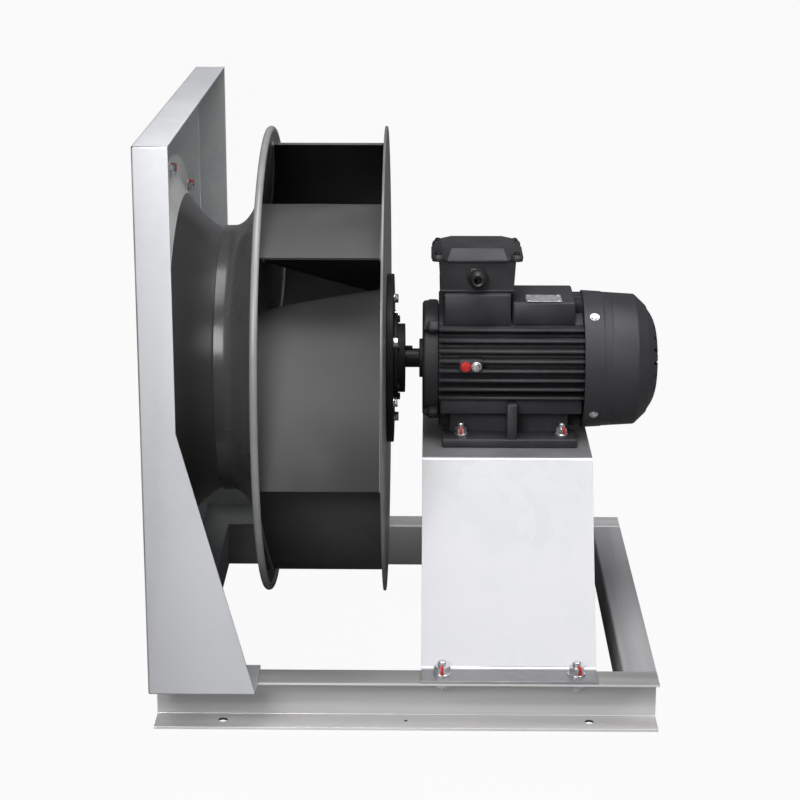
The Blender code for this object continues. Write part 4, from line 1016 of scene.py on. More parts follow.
@dataclass
class Studio:
    """Pale floor, soft light and the camera of the photograph."""

    focal_pixels: float = 2071.0
    place: Colour = (0.01765, -2.52726, 1.08529)
    pitch: float = 0.25047
    yaw: float = -0.01416
    horizon_row: float = 310.0
    sensor: float = 36.0
    floor_half: float = 9.0
    floor_drop: float = 0.0006
    floor_glow: float = 0.95
    near_room: Colour = (0.15, 0.15, 0.155)
    far_room: Colour = (0.17, 0.17, 0.18)

    def build(self) -> None:
        """Make the camera, the floor, the lamps and the world."""
        data = bpy.data.cameras.new("camera")
        data.sensor_width = self.sensor
        data.lens = self.focal_pixels * self.sensor / IMAGE_PIXELS
        data.shift_y = (self.horizon_row - IMAGE_PIXELS / 2) / IMAGE_PIXELS
        camera = bpy.data.objects.new("camera", data)
        camera.location = self.place
        camera.rotation_euler = (math.pi / 2 - self.pitch, 0.0, -self.yaw)
        bpy.context.scene.collection.objects.link(camera)
        bpy.context.scene.camera = camera
        bpy.context.scene.view_settings.view_transform = "Standard"
        self._floor()
        self._lamp("key", (-0.9, -3.1, 2.2), (0.0, 0.0, 0.35), 1.4, 78.0)
        self._lamp("fill", (2.3, -1.5, 2.6), (0.1, 0.0, 0.35), 1.6, 40.0)
        self._lamp("top", (0.1, -0.5, 2.8), (0.0, 0.0, 0.3), 1.6, 46.0)
        self._world()

    def _lamp(self, name: str, place: Colour, target: Colour, size: float, power: float) -> None:
        """Add a soft square lamp that looks at a point."""
        data = bpy.data.lights.new(name, "AREA")
        data.shape = "SQUARE"
        data.size = size
        data.energy = power
        lamp = bpy.data.objects.new(name, data)
        lamp.location = place
        lamp.rotation_euler = (Vector(place) - Vector(target)).to_track_quat("Z", "Y").to_euler()
        bpy.context.scene.collection.objects.link(lamp)

    def _floor(self) -> None:
        """Add a pale floor that the camera sees as nearly white, with a soft shadow and a faint mirror."""
        form = bmesh.new()
        bmesh.ops.create_grid(form, x_segments=8, y_segments=8, size=self.floor_half)
        bmesh.ops.translate(form, vec=(0.0, 0.0, -self.floor_drop), verts=form.verts)
        floor = wrap("floor", form)
        paint = bpy.data.materials.new("floor")
        paint.use_nodes = True
        graph = Graph(paint.node_tree)
        rays = graph.add("ShaderNodeLightPath")
        plain = graph.put(graph.add("ShaderNodeBsdfPrincipled"), Base_Color=(0.22, 0.22, 0.22, 1.0),
                          Roughness=0.12, Specular_IOR_Level=0.5)
        glow = graph.put(graph.add("ShaderNodeEmission"), Color=(1.0, 1.0, 1.0, 1.0), Strength=1.0)
        seen = graph.maths("MULTIPLY", rays.outputs["Is Camera Ray"], self.floor_glow)
        graph.put(graph.add("ShaderNodeOutputMaterial"), Surface=graph.fade(seen, plain, glow))
        floor.data.materials.append(paint)
        floor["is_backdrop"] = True

    def _world(self) -> None:
        """White for the camera, and for the light a soft room, a little brighter behind the fan."""
        world = bpy.context.scene.world or bpy.data.worlds.new("world")
        bpy.context.scene.world = world
        world.use_nodes = True
        graph = Graph(world.node_tree)
        rays = graph.add("ShaderNodeLightPath")
        way = graph.add("ShaderNodeSeparateXYZ")
        graph.tree.links.new(graph.add("ShaderNodeTexCoord").outputs["Generated"], way.inputs[0])
        tone = graph.blend(graph.span(way.outputs["Y"], 0.0, 1.0, (-1.0, 0.6)), self.near_room, self.far_room)
        room = graph.put(graph.add("ShaderNodeBackground"), Color=tone, Strength=1.0)
        white = graph.put(graph.add("ShaderNodeBackground"), Color=(1.0, 1.0, 1.0, 1.0), Strength=1.0)
        graph.put(graph.add("ShaderNodeOutputWorld"),
                  Surface=graph.fade(rays.outputs["Is Camera Ray"], room, white))


@dataclass
class Base:
    """Four channels, the inlet panel and the motor stand, all folded from sheet."""

    frame: dict
    rail_sheet: float = 0.003
    panel_sheet: float = 0.0025
    stand_bolt: Fastener = field(default_factory=lambda: Fastener(0.017, 0.0085, washer=0.0105, grip=0.0066,
                                                                  tail=0.004, shank=0.005, stud=0.006))

    def build(self) -> None:
        """Dress the sheets and set the stand bolts."""
        # Near rail: painted highlight on its bends and cut edges, painted shade on its top faces.
        folded_sheet(self.frame, "base_rail_near", BASE_STEEL, BASE_EDGE_HIGHLIGHT, RAIL_TOP_SHADE, self.rail_sheet)
        folded_sheet(self.frame, "base_rail_far", BASE_STEEL, BASE_STEEL, BASE_STEEL, self.rail_sheet)
        # The end rails take a darker copy of the base steel: painted shade.
        for node in ("base_rail_inlet_end", "base_rail_motor_end"):
            folded_sheet(self.frame, node, CROSS_STEEL_SHADE, CROSS_STEEL_SHADE, CROSS_STEEL_SHADE, self.rail_sheet)
        # The panel's inner faces take painted shade.
        folded_sheet(self.frame, "inlet_panel", GALVANISED, GALVANISED_EDGE, TRAY_SHADE, self.panel_sheet)
        # The stand: a slightly darker sheet, and painted shade on its level and inner faces.
        folded_sheet(self.frame, "motor_stand", STAND_SHEET_SHADE, GALVANISED_EDGE, LEVEL_SHADE, self.rail_sheet)
        nodes = [f"stand_bolt_{number}" for number in range(1, 5)]
        seat_bolts("stand_bolts", nodes, self.stand_bolt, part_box("motor_stand")[0].z + self.rail_sheet)


def seat_bolts(name: str, nodes: list[str], bolt: Fastener, level: float) -> None:
    """Replace upright bolts by detailed ones with a torque mark each.

    Args:
        name: Name of the group.
        nodes: Nodes of the bolts.
        bolt: The fastener.
        level: Height of the face that they sit on.
    """
    seats = []
    for number, node in enumerate(nodes):
        low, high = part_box(node)
        spot = (low + high) / 2
        turn = 0.5 * math.sin(1.7 * number)
        seats.append(Seat(Vector((spot.x, spot.y, level + SEAT_GAP)), Vector((0, 0, 1)), turn))
    marked_bolts(name, f"{name}_marks", bolt, seats, nodes)


@dataclass
class InletCone:
    """The spun inlet cone with the bolts of its flange."""

    layout: Layout
    front: float = 0.0028
    sheet: float = 0.002
    flange: float = 0.256
    mouth: float = 0.228
    throat: float = 0.1595
    length: float = 0.0742
    curve: float = 1.9
    # Station up to which the cone takes light paint as a painted reflection.
    reflection_end: float = 0.018
    points: int = 28
    bolts: int = 8
    bolt_circle: float = 0.2475
    first_bolt: float = math.radians(84.0)

    def radius(self, share: float) -> float:
        """Flow side radius at a share of the length."""
        return self.throat + (self.mouth - self.throat) * (1 - share) ** self.curve

    def build(self) -> None:
        """Turn the cone and bolt its flange."""
        flow = [(self.front, self.flange)]
        flow += [(self.front + self.length * share, self.radius(share))
                 for share in (index / self.points for index in range(self.points + 1))]
        outline = flow + beside(flow, self.sheet)[::-1]
        cone = turned("inlet_cone_skin", self.layout, outline, CONE_PAINT, CONE_RIM_REFLECTION, sides=160, sharp=60.0)
        # The flange ring and the start of the bell take light paint: a painted reflection of the light from
        # above.
        for face in cone.data.polygons:
            face.material_index = 1 if face.center.x < self.layout.at(self.reflection_end) else 0
        settle(cone, Body.ROOT, ["inlet_cone"])
        bolt = Fastener(0.013, 0.0053, washer=0.0085, grip=0.0)
        seats = []
        for number in range(self.bolts):
            angle = self.first_bolt + 2 * math.pi * number / self.bolts
            point = self.layout.round_shaft(self.front + self.sheet, self.bolt_circle, angle)
            seats.append(Seat(point, Vector((1, 0, 0)), 0.6 * number))
        marked_bolts("cone_bolts", "cone_bolt_marks", bolt, seats)


def beside(points: Outline, distance: float) -> Outline:
    """Row of points at a distance to the left of an outline, with its corners mitred.

    Args:
        points: The outline.
        distance: Distance to the left.

    Returns:
        The row, in the order of the outline.
    """
    runs = [(Vector(b) - Vector(a)).normalized() for a, b in zip(points, points[1:])]
    row: Outline = []
    for point, before, after in zip(points, [runs[0], *runs], [*runs, runs[-1]]):
        left, turned_left = Vector((-before.y, before.x)), Vector((-after.y, after.x))
        miter = (left + turned_left).normalized()
        row.append(tuple(Vector(point) + miter * distance / miter.dot(left)))
    return row


@dataclass
class Wheel:
    """Shroud, backplate and airfoil blades with their welds."""

    layout: Layout
    lip: float = 0.067
    neck_length: float = 0.011
    neck: float = 0.165
    sheet: float = 0.0025
    depth: float = 0.048
    radius: float = 0.2925
    bead: float = 0.0045
    outlet: float = 0.142
    backplate: float = 0.003
    bore: float = 0.0125
    blades: int = 6
    tip: float = 0.270
    lead_back: float = 0.165
    lead_shroud: float = 0.183
    angle: float = math.radians(23.5)
    thickness: float = 0.015
    edge: float = 0.0025
    phase: float = math.radians(40.5)
    chord_points: int = 20
    span_points: int = 12
    flare_steps: int = 24
    roll_steps: int = 16
    weld: float = 0.0016
    weld_sides: int = 8
    airfoil: tuple[float, ...] = (0.2969, -0.126, -0.3516, 0.2843, -0.1015)

    @property
    def turn(self) -> float:
        """Station where the shroud starts to flare."""
        return self.lip + self.neck_length

    @property
    def rim(self) -> float:
        """Station of the shroud's rim."""
        return self.turn + self.depth

    @property
    def back(self) -> float:
        """Station of the backplate's blade side."""
        return self.rim + self.outlet

    def build(self) -> None:
        """Build the wheel on the rotor."""
        settle(self._shroud(), Body.ROTOR, ["wheel_shroud"])
        rear = self.back + self.backplate
        plate = filleted([(self.back, self.bore), (self.back, self.radius), (rear, self.radius),
                          (rear, self.bore)], 0.0006)
        # The backplate takes a lighter copy of the wheel paint: a painted highlight for its lit edge.
        disc = turned("wheel_backplate_skin", self.layout, plate, PLATE_HIGHLIGHT_PAINT, sides=180, sharp=50.0)
        settle(disc, Body.ROTOR, ["wheel_backplate"])
        shape, ends = self._blade()
        welds = bmesh.new()
        for number in range(self.blades):
            spin = self._spin(self.phase + 2 * math.pi * number / self.blades)
            data = shape.copy()
            data.transform(spin)
            blade = bpy.data.objects.new(f"airfoil_blade_{number + 1}", data)
            bpy.context.scene.collection.objects.link(blade)
            settle(blade, Body.ROTOR, [f"blade_{number + 1}"])
            for end in ends:
                row = [welds.verts.new(spin @ point) for point in end]
                for first, second in zip(row, row[1:] + row[:1]):
                    welds.edges.new((first, second))
        path = wrap("blade_welds", welds)
        # The welds take the rim's lighter paint.
        values = {"Radius": self.weld, "Sides": self.weld_sides, "Finish": RIM_HIGHLIGHT_PAINT.material()}
        settle(Repeats.run(path, Repeats.beads(), values, sharp=60.0), Body.ROTOR)

    def _shroud(self) -> bpy.types.Object:
        """Turn the shroud: neck, quarter ellipse and rolled rim."""
        rise = self.radius - self.neck
        last = math.acos(2 * self.bead / rise)
        inner: Outline = [(self.lip, self.neck)]
        for step in range(self.flare_steps + 1):
            lean = last * step / self.flare_steps
            inner.append((self.turn + self.depth * math.sin(lean), self.radius - rise * math.cos(lean)))
        outer = beside(inner, self.sheet)
        middle = self.rim - self.sheet / 2
        half = math.asin(self.sheet / 2 / self.bead)
        roll: Outline = []
        for step in range(self.roll_steps + 1):
            lean = -math.pi / 2 + half + 2 * (math.pi - half) * step / self.roll_steps
            roll.append((middle + self.bead * math.cos(lean),
                         self.radius - self.bead + self.bead * math.sin(lean)))
        skin = turned("wheel_shroud_skin", self.layout, inner + roll + outer[::-1], WHEEL_PAINT, RIM_HIGHLIGHT_PAINT,
                      sides=180, sharp=60.0)
        # Faces near the rolled rim take a much lighter paint: a painted highlight where the rim catches the
        # light.
        for face in skin.data.polygons:
            middle_point = face.center - Vector((face.center.x, 0.0, self.layout.axis))
            face.material_index = 1 if middle_point.length > self.radius - 2.2 * self.bead else 0
        return skin

    def _spin(self, angle: float) -> Matrix:
        """Turn about the shaft."""
        centre = Matrix.Translation((0.0, 0.0, self.layout.axis))
        return centre @ Matrix.Rotation(-angle, 4, "X") @ centre.inverted()

    def _shroud_station(self, radius: float) -> float:
        """Station of the shroud's blade side at a radius."""
        share = min(max((self.radius - radius) / (self.radius - self.neck), 0.0), 1.0)
        return self.turn + self.depth * math.sqrt(1 - share * share)

    def _half_thickness(self, share: float) -> float:
        """Half thickness of the airfoil at a share of its chord."""
        root, *powers = self.airfoil
        curve = root * math.sqrt(share) + sum(term * share**power for power, term in enumerate(powers, 1))
        return 5 * self.thickness * curve + self.edge / 2 * share

    def _middle_line(self, share: float, lead: float) -> Vector:
        """Point of the blade's middle line, a logarithmic spiral, seen along the shaft."""
        radius = lead * (self.tip / lead) ** share
        angle = math.log(self.tip / radius) / math.tan(self.angle)
        return Vector((-radius * math.cos(angle), radius * math.sin(angle)))

    def _section(self, lead: float) -> list[Vector]:
        """Closed airfoil section round the spiral."""
        sides = []
        for side in (1, -1):
            row = []
            for index in range(self.chord_points + 1):
                share = (1 - math.cos(math.pi * index / self.chord_points)) / 2
                ahead = (self._middle_line(min(share + 0.001, 1.0), lead)
                         - self._middle_line(max(share - 0.001, 0.0), lead))
                across = Vector((-ahead.y, ahead.x)).normalized()
                row.append(self._middle_line(share, lead) + side * self._half_thickness(share) * across)
            sides.append(row)
        return sides[0][::-1] + sides[1][1:]

    def _blade(self) -> tuple[bpy.types.Mesh, list[list[Vector]]]:
        """Loft one blade from the backplate to the shroud.

        Returns:
            Its mesh and the outlines of its two ends.
        """
        form = bmesh.new()
        rings = []
        back = self.back - SEAT_GAP
        for step in range(self.span_points):
            span = step / (self.span_points - 1)
            ring = []
            for point in self._section(self.lead_back + (self.lead_shroud - self.lead_back) * span):
                front = self._shroud_station(point.length) + WELD_GAP
                place = (self.layout.at(back + (front - back) * span), point.x, self.layout.axis + point.y)
                ring.append(form.verts.new(place))
            rings.append(ring)
        closed_body(form, rings)
        bmesh.ops.recalc_face_normals(form, faces=form.faces)
        ends = [[corner.co.copy() for corner in ring] for ring in (rings[0], rings[-1])]
        item = wrap("blade_shape", form, BLADE_PAINT, BLADE_INNER_SHADE, sharp=45.0)
        data = item.data
        bpy.data.objects.remove(item)
        # Faces that look towards the shaft take near-black paint: painted shade inside the wheel.
        for face in data.polygons:
            away = face.center - Vector((face.center.x, 0.0, self.layout.axis))
            face.material_index = 1 if face.normal.dot(away) < 0 else 0
        return data, ends


@dataclass
class Hub:
    """Hub plate, ring and boss with their bolts and screws."""

    layout: Layout
    plate_front: float = 0.2713
    plate_radius: float = 0.1065
    plate: float = 0.008
    ring_front: float = 0.2796
    ring_radius: float = 0.057
    ring: float = 0.0045
    boss_radius: float = 0.0435
    boss: float = 0.0093
    bore: float = 0.0123
    bolt_circle: float = 0.0775
    screw_circle: float = 0.0505
    screws: int = 6

    def build(self) -> None:
        """Build the hub on the rotor."""
        plate_back = self.plate_front + self.plate
        plate = filleted([(self.plate_front, self.bore), (self.plate_front, self.plate_radius),
                          (plate_back, self.plate_radius), (plate_back, self.bore)], 0.0009)
        disc = turned("hub_plate_disc", self.layout, plate, HUB_BLACK, sides=120)
        settle(disc, Body.ROTOR, ["hub_plate"])
        ring_back = self.ring_front + self.ring
        end = ring_back + self.boss
        outline = filleted([(self.ring_front, self.bore), (self.ring_front, self.ring_radius),
                            (ring_back, self.ring_radius), (ring_back, self.boss_radius),
                            (end, self.boss_radius), (end, self.bore)], 0.0008)
        boss = turned("hub_boss_turned", self.layout, outline, HUB_BLACK, sides=96)
        settle(boss, Body.ROTOR, ["hub_boss"])
        bolt = Fastener(0.010, 0.0038, washer=0.0062, sheet=0.0018, grip=self.plate + 0.0036, tail=0.0085,
                        shank=0.003)
        nodes = [f"hub_bolt_{number}" for number in range(1, 7)]
        seats = self._seats(plate_back, self.bolt_circle, len(nodes))
        settle(bolt.place("hub_plate_bolts", seats, ZINC), Body.ROTOR, nodes)
        screw = Fastener(0.0075, 0.0028)
        settle(screw.place("hub_ring_screws", self._seats(ring_back, self.screw_circle, self.screws),
                           HUB_BLACK), Body.ROTOR)

    def _seats(self, station: float, circle: float, count: int) -> list[Seat]:
        """Seats round the shaft that look at the motor."""
        seats = []
        for number in range(count):
            angle = math.pi / 2 + 2 * math.pi * number / count
            seats.append(Seat(self.layout.round_shaft(station + 0.0001, circle, angle), Vector((1, 0, 0)),
                              0.8 * number))
        return seats


@dataclass
class MotorFrame:
    """Finned motor frame with its feet, saddle, plate pad and earth boss."""

    layout: Layout
    front: float = 0.3356
    length: float = 0.1794
    bore: float = 0.0656
    barrel: float = 0.0705
    tip: float = 0.0844
    pitch: float = 0.0118
    fin: float = 0.0038
    side_fins: int = 8
    top_fins: int = 5
    shaft_height: float = 0.090
    foot_start: float = 0.0041
    foot_length: float = 0.167
    foot_half: float = 0.090
    foot_inner: float = 0.046
    foot_wall: float = 0.010
    foot_thickness: float = 0.011
    foot_bolt: float = 0.0278
    bolt_spacing: float = 0.125
    saddle_start: float = 0.0054
    saddle_length: float = 0.0836
    saddle_half: float = 0.050
    saddle_top: float = 0.0955
    pad_half: float = 0.046
    pad_length: float = 0.078
    pad_top: float = 0.0845
    earth_start: float = 0.033
    earth_spacing: float = 0.013
    earth_height: float = 0.0125

    def build(self) -> None:
        """Build the frame and its foot bolts."""
        back = self.front + self.length
        parts = [turned("barrel", self.layout, filleted([
            (self.front, self.bore), (self.front, self.barrel), (back, self.barrel), (back, self.bore)],
            0.0012), CASTING, sides=112)]
        parts += self._fins()
        parts += self._top()
        for side in (-1, 1):
            parts += self._foot(side)
        parts.append(self._earth_boss())
        settle(gather("motor_frame_casting", parts), Body.ROOT, ["motor_frame"])
        nodes = [f"motor_foot_bolt_{number}" for number in range(1, 5)]
        bolt = Fastener(0.013, 0.0068, washer=0.0081, grip=0.0146, tail=0.003, shank=0.004, stud=0.006)
        tread = self.layout.axis - self.shaft_height + self.foot_thickness
        seat_bolts("motor_foot_bolts", nodes, bolt, tread)

    def _fins(self) -> list[bpy.types.Object]:
        """Fins on the sides, above and below."""
        made = []
        for turn, count, lift in ((0.0, self.side_fins, self.pitch), (math.pi, self.side_fins, -self.pitch),
                                  (-math.pi / 2, self.top_fins, 0.0), (math.pi / 2, self.top_fins, 0.0)):
            data = bpy.data.meshes.new("fins")
            item = bpy.data.objects.new("fins", data)
            bpy.context.scene.collection.objects.link(item)
            values = {"Fins": count, "Pitch": self.pitch, "Lift": lift, "Thickness": self.fin,
                      "Length": self.length, "Root": self.barrel - 0.002, "Tip": self.tip,
                      "Finish": CASTING.material()}
            fins = Repeats.run(item, Repeats.fins(), values, rounding=0.0009)
            middle = (self.layout.at(self.front + self.length / 2), 0.0, self.layout.axis)
            fins.data.transform(Matrix.Translation(middle) @ Matrix.Rotation(turn, 4, "X"))
            made.append(fins)
        return made

    def _span(self, start: float, length: float, levels: Pair, heights: Pair, width: float = 0.0015
              ) -> bpy.types.Object:
        """A block between two stations of the frame, two levels across and two heights."""
        x = self.layout.at(self.front + start)
        low, high = sorted(levels)
        return block(Vector((x, low, self.layout.axis + heights[0])),
                     Vector((x + length, high, self.layout.axis + heights[1])), CASTING, width)

    def _top(self) -> list[bpy.types.Object]:
        """The saddle of the terminal box and the pad of the plate."""
        ledge = 4.5 * self.pitch + self.fin / 4
        pad_start = self.saddle_start + self.saddle_length + 0.002
        saddle = self._span(self.saddle_start, self.saddle_length, (-self.saddle_half, self.saddle_half),
                            (ledge, self.saddle_top), 0.003)
        pad = self._span(pad_start, self.pad_length, (-self.pad_half, self.pad_half),
                         (ledge, self.pad_top), 0.003)
        return [self._hollowed(saddle), self._hollowed(pad)]

    def _hollowed(self, item: bpy.types.Object) -> bpy.types.Object:
        """Cut the barrel's bore out of a block that reaches into it."""
        front, back = self.front - 0.01, self.front + self.length + 0.01
        tool = turned("bore", self.layout, [(front, 0.0), (front, self.barrel - 0.002),
                                            (back, self.barrel - 0.002), (back, 0.0)], sides=96, ring=False)
        step = item.modifiers.new("bore", "BOOLEAN")
        step.object = tool
        step.operation = "DIFFERENCE"
        step.solver = "EXACT"
        made = baked(item)
        bpy.data.objects.remove(tool)
        return made

    def _foot(self, side: int) -> list[bpy.types.Object]:
        """One foot: its sole, its wall up to the barrel, its middle rib and a ledge along the barrel."""
        sole = -self.shaft_height
        tread = sole + self.foot_thickness
        crown = -self.barrel * 0.5
        inner, outer = side * self.foot_inner, side * self.foot_half
        wall = side * (self.foot_inner + self.foot_wall)
        middle = self.foot_bolt + self.bolt_spacing / 2
        parts = [self._span(self.foot_start, self.foot_length, (inner, outer), (sole, tread), 0.002),
                 self._span(self.foot_start + 0.010, self.foot_length - 0.020, (inner, wall),
                            (sole + 0.005, crown), 0.001),
                 self._span(middle - 0.00625, 0.0125, (inner, outer - side * 0.0006), (sole + 0.005, crown)),
                 self._span(0.002, self.length - 0.004, (inner, side * self.barrel),
                            (-0.0525, crown + 0.004))]
        return [self._hollowed(part) for part in parts]

    def _earth_boss(self) -> bpy.types.Object:
        """The block between the side fins that takes the earth screws."""
        start = self.earth_start - 0.008
        length = self.earth_spacing + 0.016
        return self._span(start, length, (-0.085, -self.barrel + 0.004),
                          (self.earth_height - 0.008, self.earth_height + 0.008), 0.0012)


@dataclass
class MotorEnds:
    """The drive end shield with its lugs and the ribbed fan cover."""

    layout: Layout
    nose: float = 0.3112
    nose_radius: float = 0.0245
    face: float = 0.3152
    rim: float = 0.3353
    radius: float = 0.073
    hole: float = 0.0125
    spigot: float = 0.0652
    bearing_hub: float = 0.0333
    bearing_pocket: float = 0.0264
    lugs: int = 4
    lug_circle: float = 0.0765
    cover_front: float = 0.5153
    cover_radius: float = 0.0868
    cover_barrel: float = 0.0828
    cover_length: float = 0.066
    cover_chamfer: float = 0.0155
    cover_face: float = 0.0668
    cover_dome: float = 0.013
    cover_sheet: float = 0.0015
    slots: int = 20
    slot_width: float = 0.004
    slot_inner: float = 0.018
    slot_outer: float = 0.056

    def build(self) -> None:
        """Build both ends of the motor."""
        settle(self._shield(), Body.ROOT, ["drive_end_shield"])
        seats = [Seat(self.layout.round_shaft(self.face + 0.0062, self.lug_circle, angle), Vector((-1, 0, 0)),
                      angle) for angle in self._lug_angles()]
        screws = Fastener(0.008, 0.0035, washer=0.0058, sheet=0.0012).place("shield_screws", seats, CASTING)
        settle(screws, Body.ROOT)
        settle(self._cover(), Body.ROOT, ["fan_cover"])
        settle(self._cover_screws(), Body.ROOT)

    def _lug_angles(self) -> list[float]:
        """Angles of the lugs, between the level and the upright."""
        return [math.pi / 4 + math.pi / 2 * number for number in range(self.lugs)]

    def _shield(self) -> bpy.types.Object:
        """Turn the shield and add its lugs."""
        face, spigot, hub, pocket = self.face, self.spigot, self.bearing_hub, self.bearing_pocket
        outline = [(self.nose, self.hole), (self.nose, self.nose_radius), (face + 0.001, self.nose_radius),
                   (face + 0.0035, self.nose_radius + 0.006), (face + 0.0042, 0.060), (face, 0.0635),
                   (face, self.radius - 0.003), (face + 0.003, self.radius), (self.rim, self.radius),
                   (self.rim, spigot), (self.rim + 0.006, spigot), (self.rim + 0.006, spigot - 0.004),
                   (face + 0.011, spigot - 0.004), (face + 0.011, hub), (face + 0.0170, hub),
                   (face + 0.0170, pocket), (face + 0.0018, pocket), (face + 0.0018, self.hole)]
        parts = [turned("shield", self.layout, filleted(outline, 0.0012, 3), CASTING, sides=120)]
        for angle in self._lug_angles():
            lug = block(Vector((-0.0065, -0.0070, -0.0075)), Vector((0.0070, 0.0070, 0.0075)), CASTING, 0.003)
            spot = self.layout.round_shaft(self.face + 0.0130, self.lug_circle, angle)
            lug.data.transform(Matrix.Translation(spot) @ Matrix.Rotation(-angle, 4, "X"))
            parts.append(lug)
        return gather("drive_end_shield_casting", parts)

    def _wall(self, distance: float, inset: float = 0.0) -> Pair:
        """Point of the cover's wall at a distance from its open end, and an inset under its surface."""
        slope = (self.cover_radius - self.cover_barrel) / self.cover_length
        return self.cover_front + distance, self.cover_radius - slope * distance - inset

    def _cover(self) -> bpy.types.Object:
        """Turn the cover with its bands and cut its slots."""
        wall, shoulder = self._wall, self.cover_front + self.cover_length
        face = shoulder + self.cover_chamfer
        outer = [wall(0.0), wall(0.024), wall(0.0252, 0.0006), wall(0.0345, 0.0006), wall(0.0352, 0.0010),
                 wall(0.0359, 0.0006), (shoulder, self.cover_barrel - 0.0006),
                 (face - 0.0006, self.cover_face + 0.0010), (face, self.cover_face - 0.0020)]
        for step in range(1, 11):
            share = 1 - step / 10
            radius = self.slot_inner + (self.cover_face - 0.002 - self.slot_inner) * share
            outer.append((face + self.cover_dome * (1 - share**3), radius))
        outer = filleted(outer, 0.0016, 3, ring=False)
        outer.append((face + self.cover_dome, 0.0))
        inner = [(station, max(radius, 0.0)) for station, radius in beside(outer, -self.cover_sheet)]
        inner[-1] = (inner[-1][0], 0.0)
        shell = turned("cover_shell", self.layout, outer + inner[::-1], COVER_PAINT, sides=120, ring=True)
        values = {"Slots": self.slots, "Inner": self.slot_inner, "Outer": self.slot_outer,
                  "Width": self.slot_width, "Depth": 0.06, "Finish": COVER_PAINT.material(),
                  "Centre": Vector((self.layout.at(face + 0.006), 0.0, self.layout.axis))}
        return Repeats.run(shell, Repeats.slots(), values)

    def _cover_screws(self) -> bpy.types.Object:
        """Four screws round the cover's open end."""
        seats = []
        for number in range(4):
            angle = math.radians(-38.0) + math.pi / 2 * number
            way = Vector((0.0, -math.cos(angle), math.sin(angle)))
            spot = self.layout.round_shaft(self.cover_front + 0.0125, self.cover_radius - 0.0008, angle)
            seats.append(Seat(spot, way, 0.4 + number))
        screw = Fastener(0.0098, 0.0022, Head.PAN, washer=0.0058, sheet=0.0006)
        return screw.place("cover_screws", seats, ZINC)


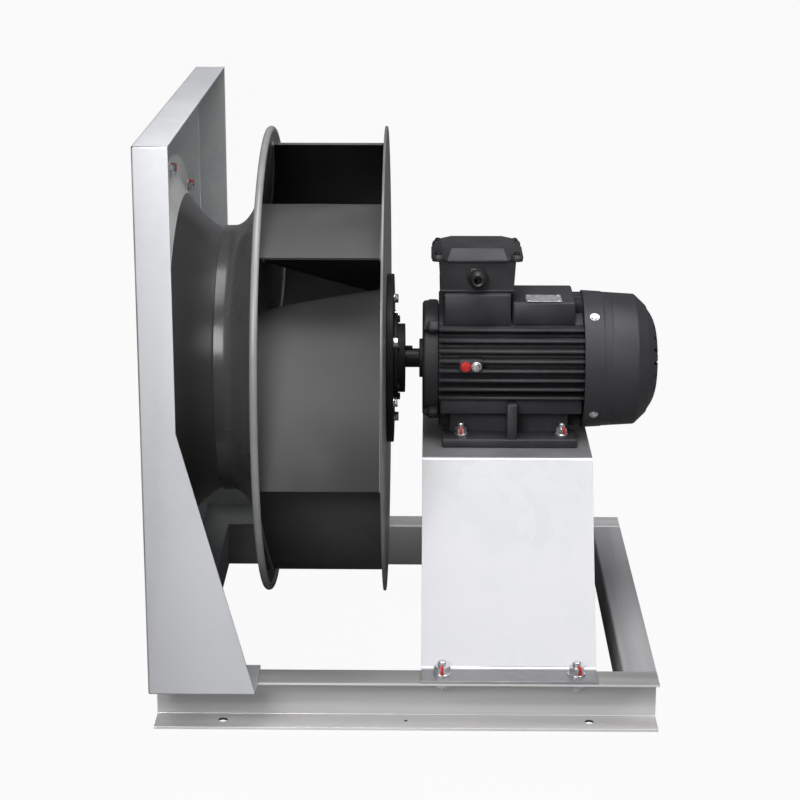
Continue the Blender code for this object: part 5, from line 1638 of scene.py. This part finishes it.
@dataclass
class TerminalBox:
    """Terminal box with its lid, lid screws, cable gland, plate and earth screws."""

    frame: dict
    edge_inset: float = 0.0012
    foot_height: float = 0.0035
    lid_lug: float = 0.0075
    gland_flats: float = 0.024
    gland_hex: float = 0.006
    gland_radius: float = 0.0119
    gland_bore: float = 0.0046
    gland_ridge: float = 0.0006
    gland_sides: int = 48

    def build(self) -> None:
        """Build the box and what sits on it."""
        self._box()
        self._lid()
        self._gland()
        self._plate()
        self._earth_screws()

    def _dressed(self, node: str, finish: Finish, width: float) -> bpy.types.Object:
        """Copy a node with its edges rounded."""
        item = wrap(f"{node}_cast", model_form(self.frame, node), finish)
        return round_edges(item, width, segments=3, angle=25.0)

    def _box(self) -> None:
        """The box body and the step at its foot."""
        low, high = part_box("terminal_box")
        body = self._dressed("terminal_box", CASTING, 0.0012)
        settle(body, Body.ROOT, ["terminal_box"])
        inset = Vector((self.edge_inset, self.edge_inset, 0.0))
        top = Vector((high.x, high.y, low.z + self.foot_height))
        foot = block(low + inset, top - inset, CASTING, 0.001)
        settle(gather("terminal_box_foot", [foot]), Body.ROOT)

    def _lid(self) -> None:
        """The chamfered lid with a lug and a screw at each corner."""
        low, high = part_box("terminal_box_lid")
        parts = [self._dressed("terminal_box_lid", CASTING, 0.0009)]
        seats = []
        for x in (low.x + 0.0085, high.x - 0.0085):
            for y in (low.y + 0.0080, high.y - 0.0080):
                base = low.z + 0.0004
                post = Fastener(2 * self.lid_lug, 0.0085, Head.PAN).shape()
                post.data.transform(Matrix.Translation((x, y, base)))
                post.data.materials.append(CASTING.material())
                parts.append(post)
                seats.append(Seat(Vector((x, y, base + 0.0086)), Vector((0, 0, 1)), x * 40))
        settle(gather("terminal_box_lid_cast", parts), Body.ROOT, ["terminal_box_lid"])
        screw = Fastener(0.0078, 0.0026, Head.PAN)
        settle(screw.place("lid_screws", seats, HUB_BLACK), Body.ROOT)

    def _gland(self) -> None:
        """The cable gland: hexagon, ribbed cap and an open bore."""
        low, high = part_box("cable_gland")
        centre = (low + high) / 2
        mouth, seat = low.y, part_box("terminal_box")[0].y
        reach = seat - mouth
        bore, radius = self.gland_bore, self.gland_radius
        rows = [(bore, 0.0), (0.0088, 0.0), (0.0088, self.gland_hex * 0.9), (0.0105, self.gland_hex),
                (radius - 0.0006, self.gland_hex + 0.0012), (radius - 0.0006, reach * 0.66),
                (radius - 0.0020, reach * 0.80), (radius - 0.0045, reach - 0.0008), (bore + 0.0022, reach),
                (bore, reach - 0.0008)]
        form = bmesh.new()
        rings = []
        for row, (size, up) in enumerate(rows):
            ring = []
            for step in range(self.gland_sides):
                ridge = self.gland_ridge if row in (4, 5) and step % 4 < 2 else 0.0
                angle = 2 * math.pi * step / self.gland_sides
                reach_out = size + ridge
                ring.append(form.verts.new((reach_out * math.cos(angle), reach_out * math.sin(angle), up)))
            rings.append(ring)
        for first, second in zip(rings, rings[1:] + rings[:1]):
            strip(form, first, second)
        bmesh.ops.recalc_face_normals(form, faces=form.faces)
        cap = wrap("cap", form, PLASTIC)
        nut = Fastener(self.gland_flats, self.gland_hex).shape()
        nut.data.materials.append(PLASTIC.material())
        seated = Matrix.Translation((centre.x, seat - SEAT_GAP, centre.z))
        place = seated @ Matrix.Rotation(math.pi / 2, 4, "X")
        for item in (cap, nut):
            item.data.transform(place)
        settle(gather("cable_gland_moulded", [cap, nut]), Body.ROOT, ["cable_gland"])

    def _plate(self) -> None:
        """The bare plate with a rivet near each corner."""
        low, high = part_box("nameplate")
        plate = block(low, high, BARE_PLATE, 0.0004)
        plate.name = "nameplate_sheet"
        settle(plate, Body.ROOT, ["nameplate"])
        seats = [Seat(Vector((x, y, high.z)), Vector((0, 0, 1)))
                 for x in (low.x + 0.003, high.x - 0.003) for y in (low.y + 0.003, high.y - 0.003)]
        rivet = Fastener(0.0030, 0.0008, Head.PAN)
        settle(rivet.place("nameplate_rivets", seats, ZINC), Body.ROOT)

    def _earth_screws(self) -> None:
        """The red marked earth screw and its bright neighbour."""
        for number, finish, washer in ((1, RED_LACQUER, 0.0065), (2, ZINC, 0.0062)):
            node = f"earth_screw_{number}"
            low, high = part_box(node)
            centre = (low + high) / 2
            seat = Seat(Vector((centre.x, high.y, centre.z)), Vector((0, -1, 0)), 0.3)
            flats = 0.0100 if number == 1 else 0.0092
            kind = Head.HEXAGON if number == 1 else Head.PAN
            screw = Fastener(flats, 0.0032, kind, washer=washer, sheet=0.001)
            item = screw.place(f"{node}_head", [seat], finish)
            settle(item, Body.ROOT, [node])


class Carried:
    """Model nodes that stay as they are and get their finish."""

    FINISHES = {
        "fan_end_shield": CASTING, "stator_pack": COPPER, "drive_bearing_outer": BRIGHT_STEEL,
        "fan_bearing_outer": BRIGHT_STEEL, "terminal_block": PLASTIC, "rotor_shaft": SHAFT_STEEL,
        "shaft_key": SHAFT_STEEL, "rotor_core": BRIGHT_STEEL, "drive_bearing_inner": BRIGHT_STEEL,
        "fan_bearing_inner": BRIGHT_STEEL, "cooling_fan": PLASTIC,
    }

    @classmethod
    def dress(cls, frame: dict) -> None:
        """Give each carried node its material.
        """
        for node, finish in cls.FINISHES.items():
            item = frame["nodes"][node]
            for place in item.material_slots:
                place.material = finish.material()
            LOG.info("%s: carried over", node)


def corners(box: tuple[Vector, Vector]) -> list[list[float]]:
    """Two corners as plain lists."""
    return [[float(part) for part in corner] for corner in box]


def main() -> None:
    """Build every sub-assembly round the frame."""
    logging.basicConfig(level=logging.INFO, format="%(message)s")
    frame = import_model()
    model_box = corners(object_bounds())
    layout = Layout.read(frame)
    Studio().build()
    Base(frame).build()
    InletCone(layout).build()
    Wheel(layout).build()
    Hub(layout).build()
    MotorFrame(layout).build()
    MotorEnds(layout).build()
    TerminalBox(frame).build()
    Carried.dress(frame)
    {"model": model_box, "visual": corners(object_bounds())}


if __name__ == "__main__":
    main()
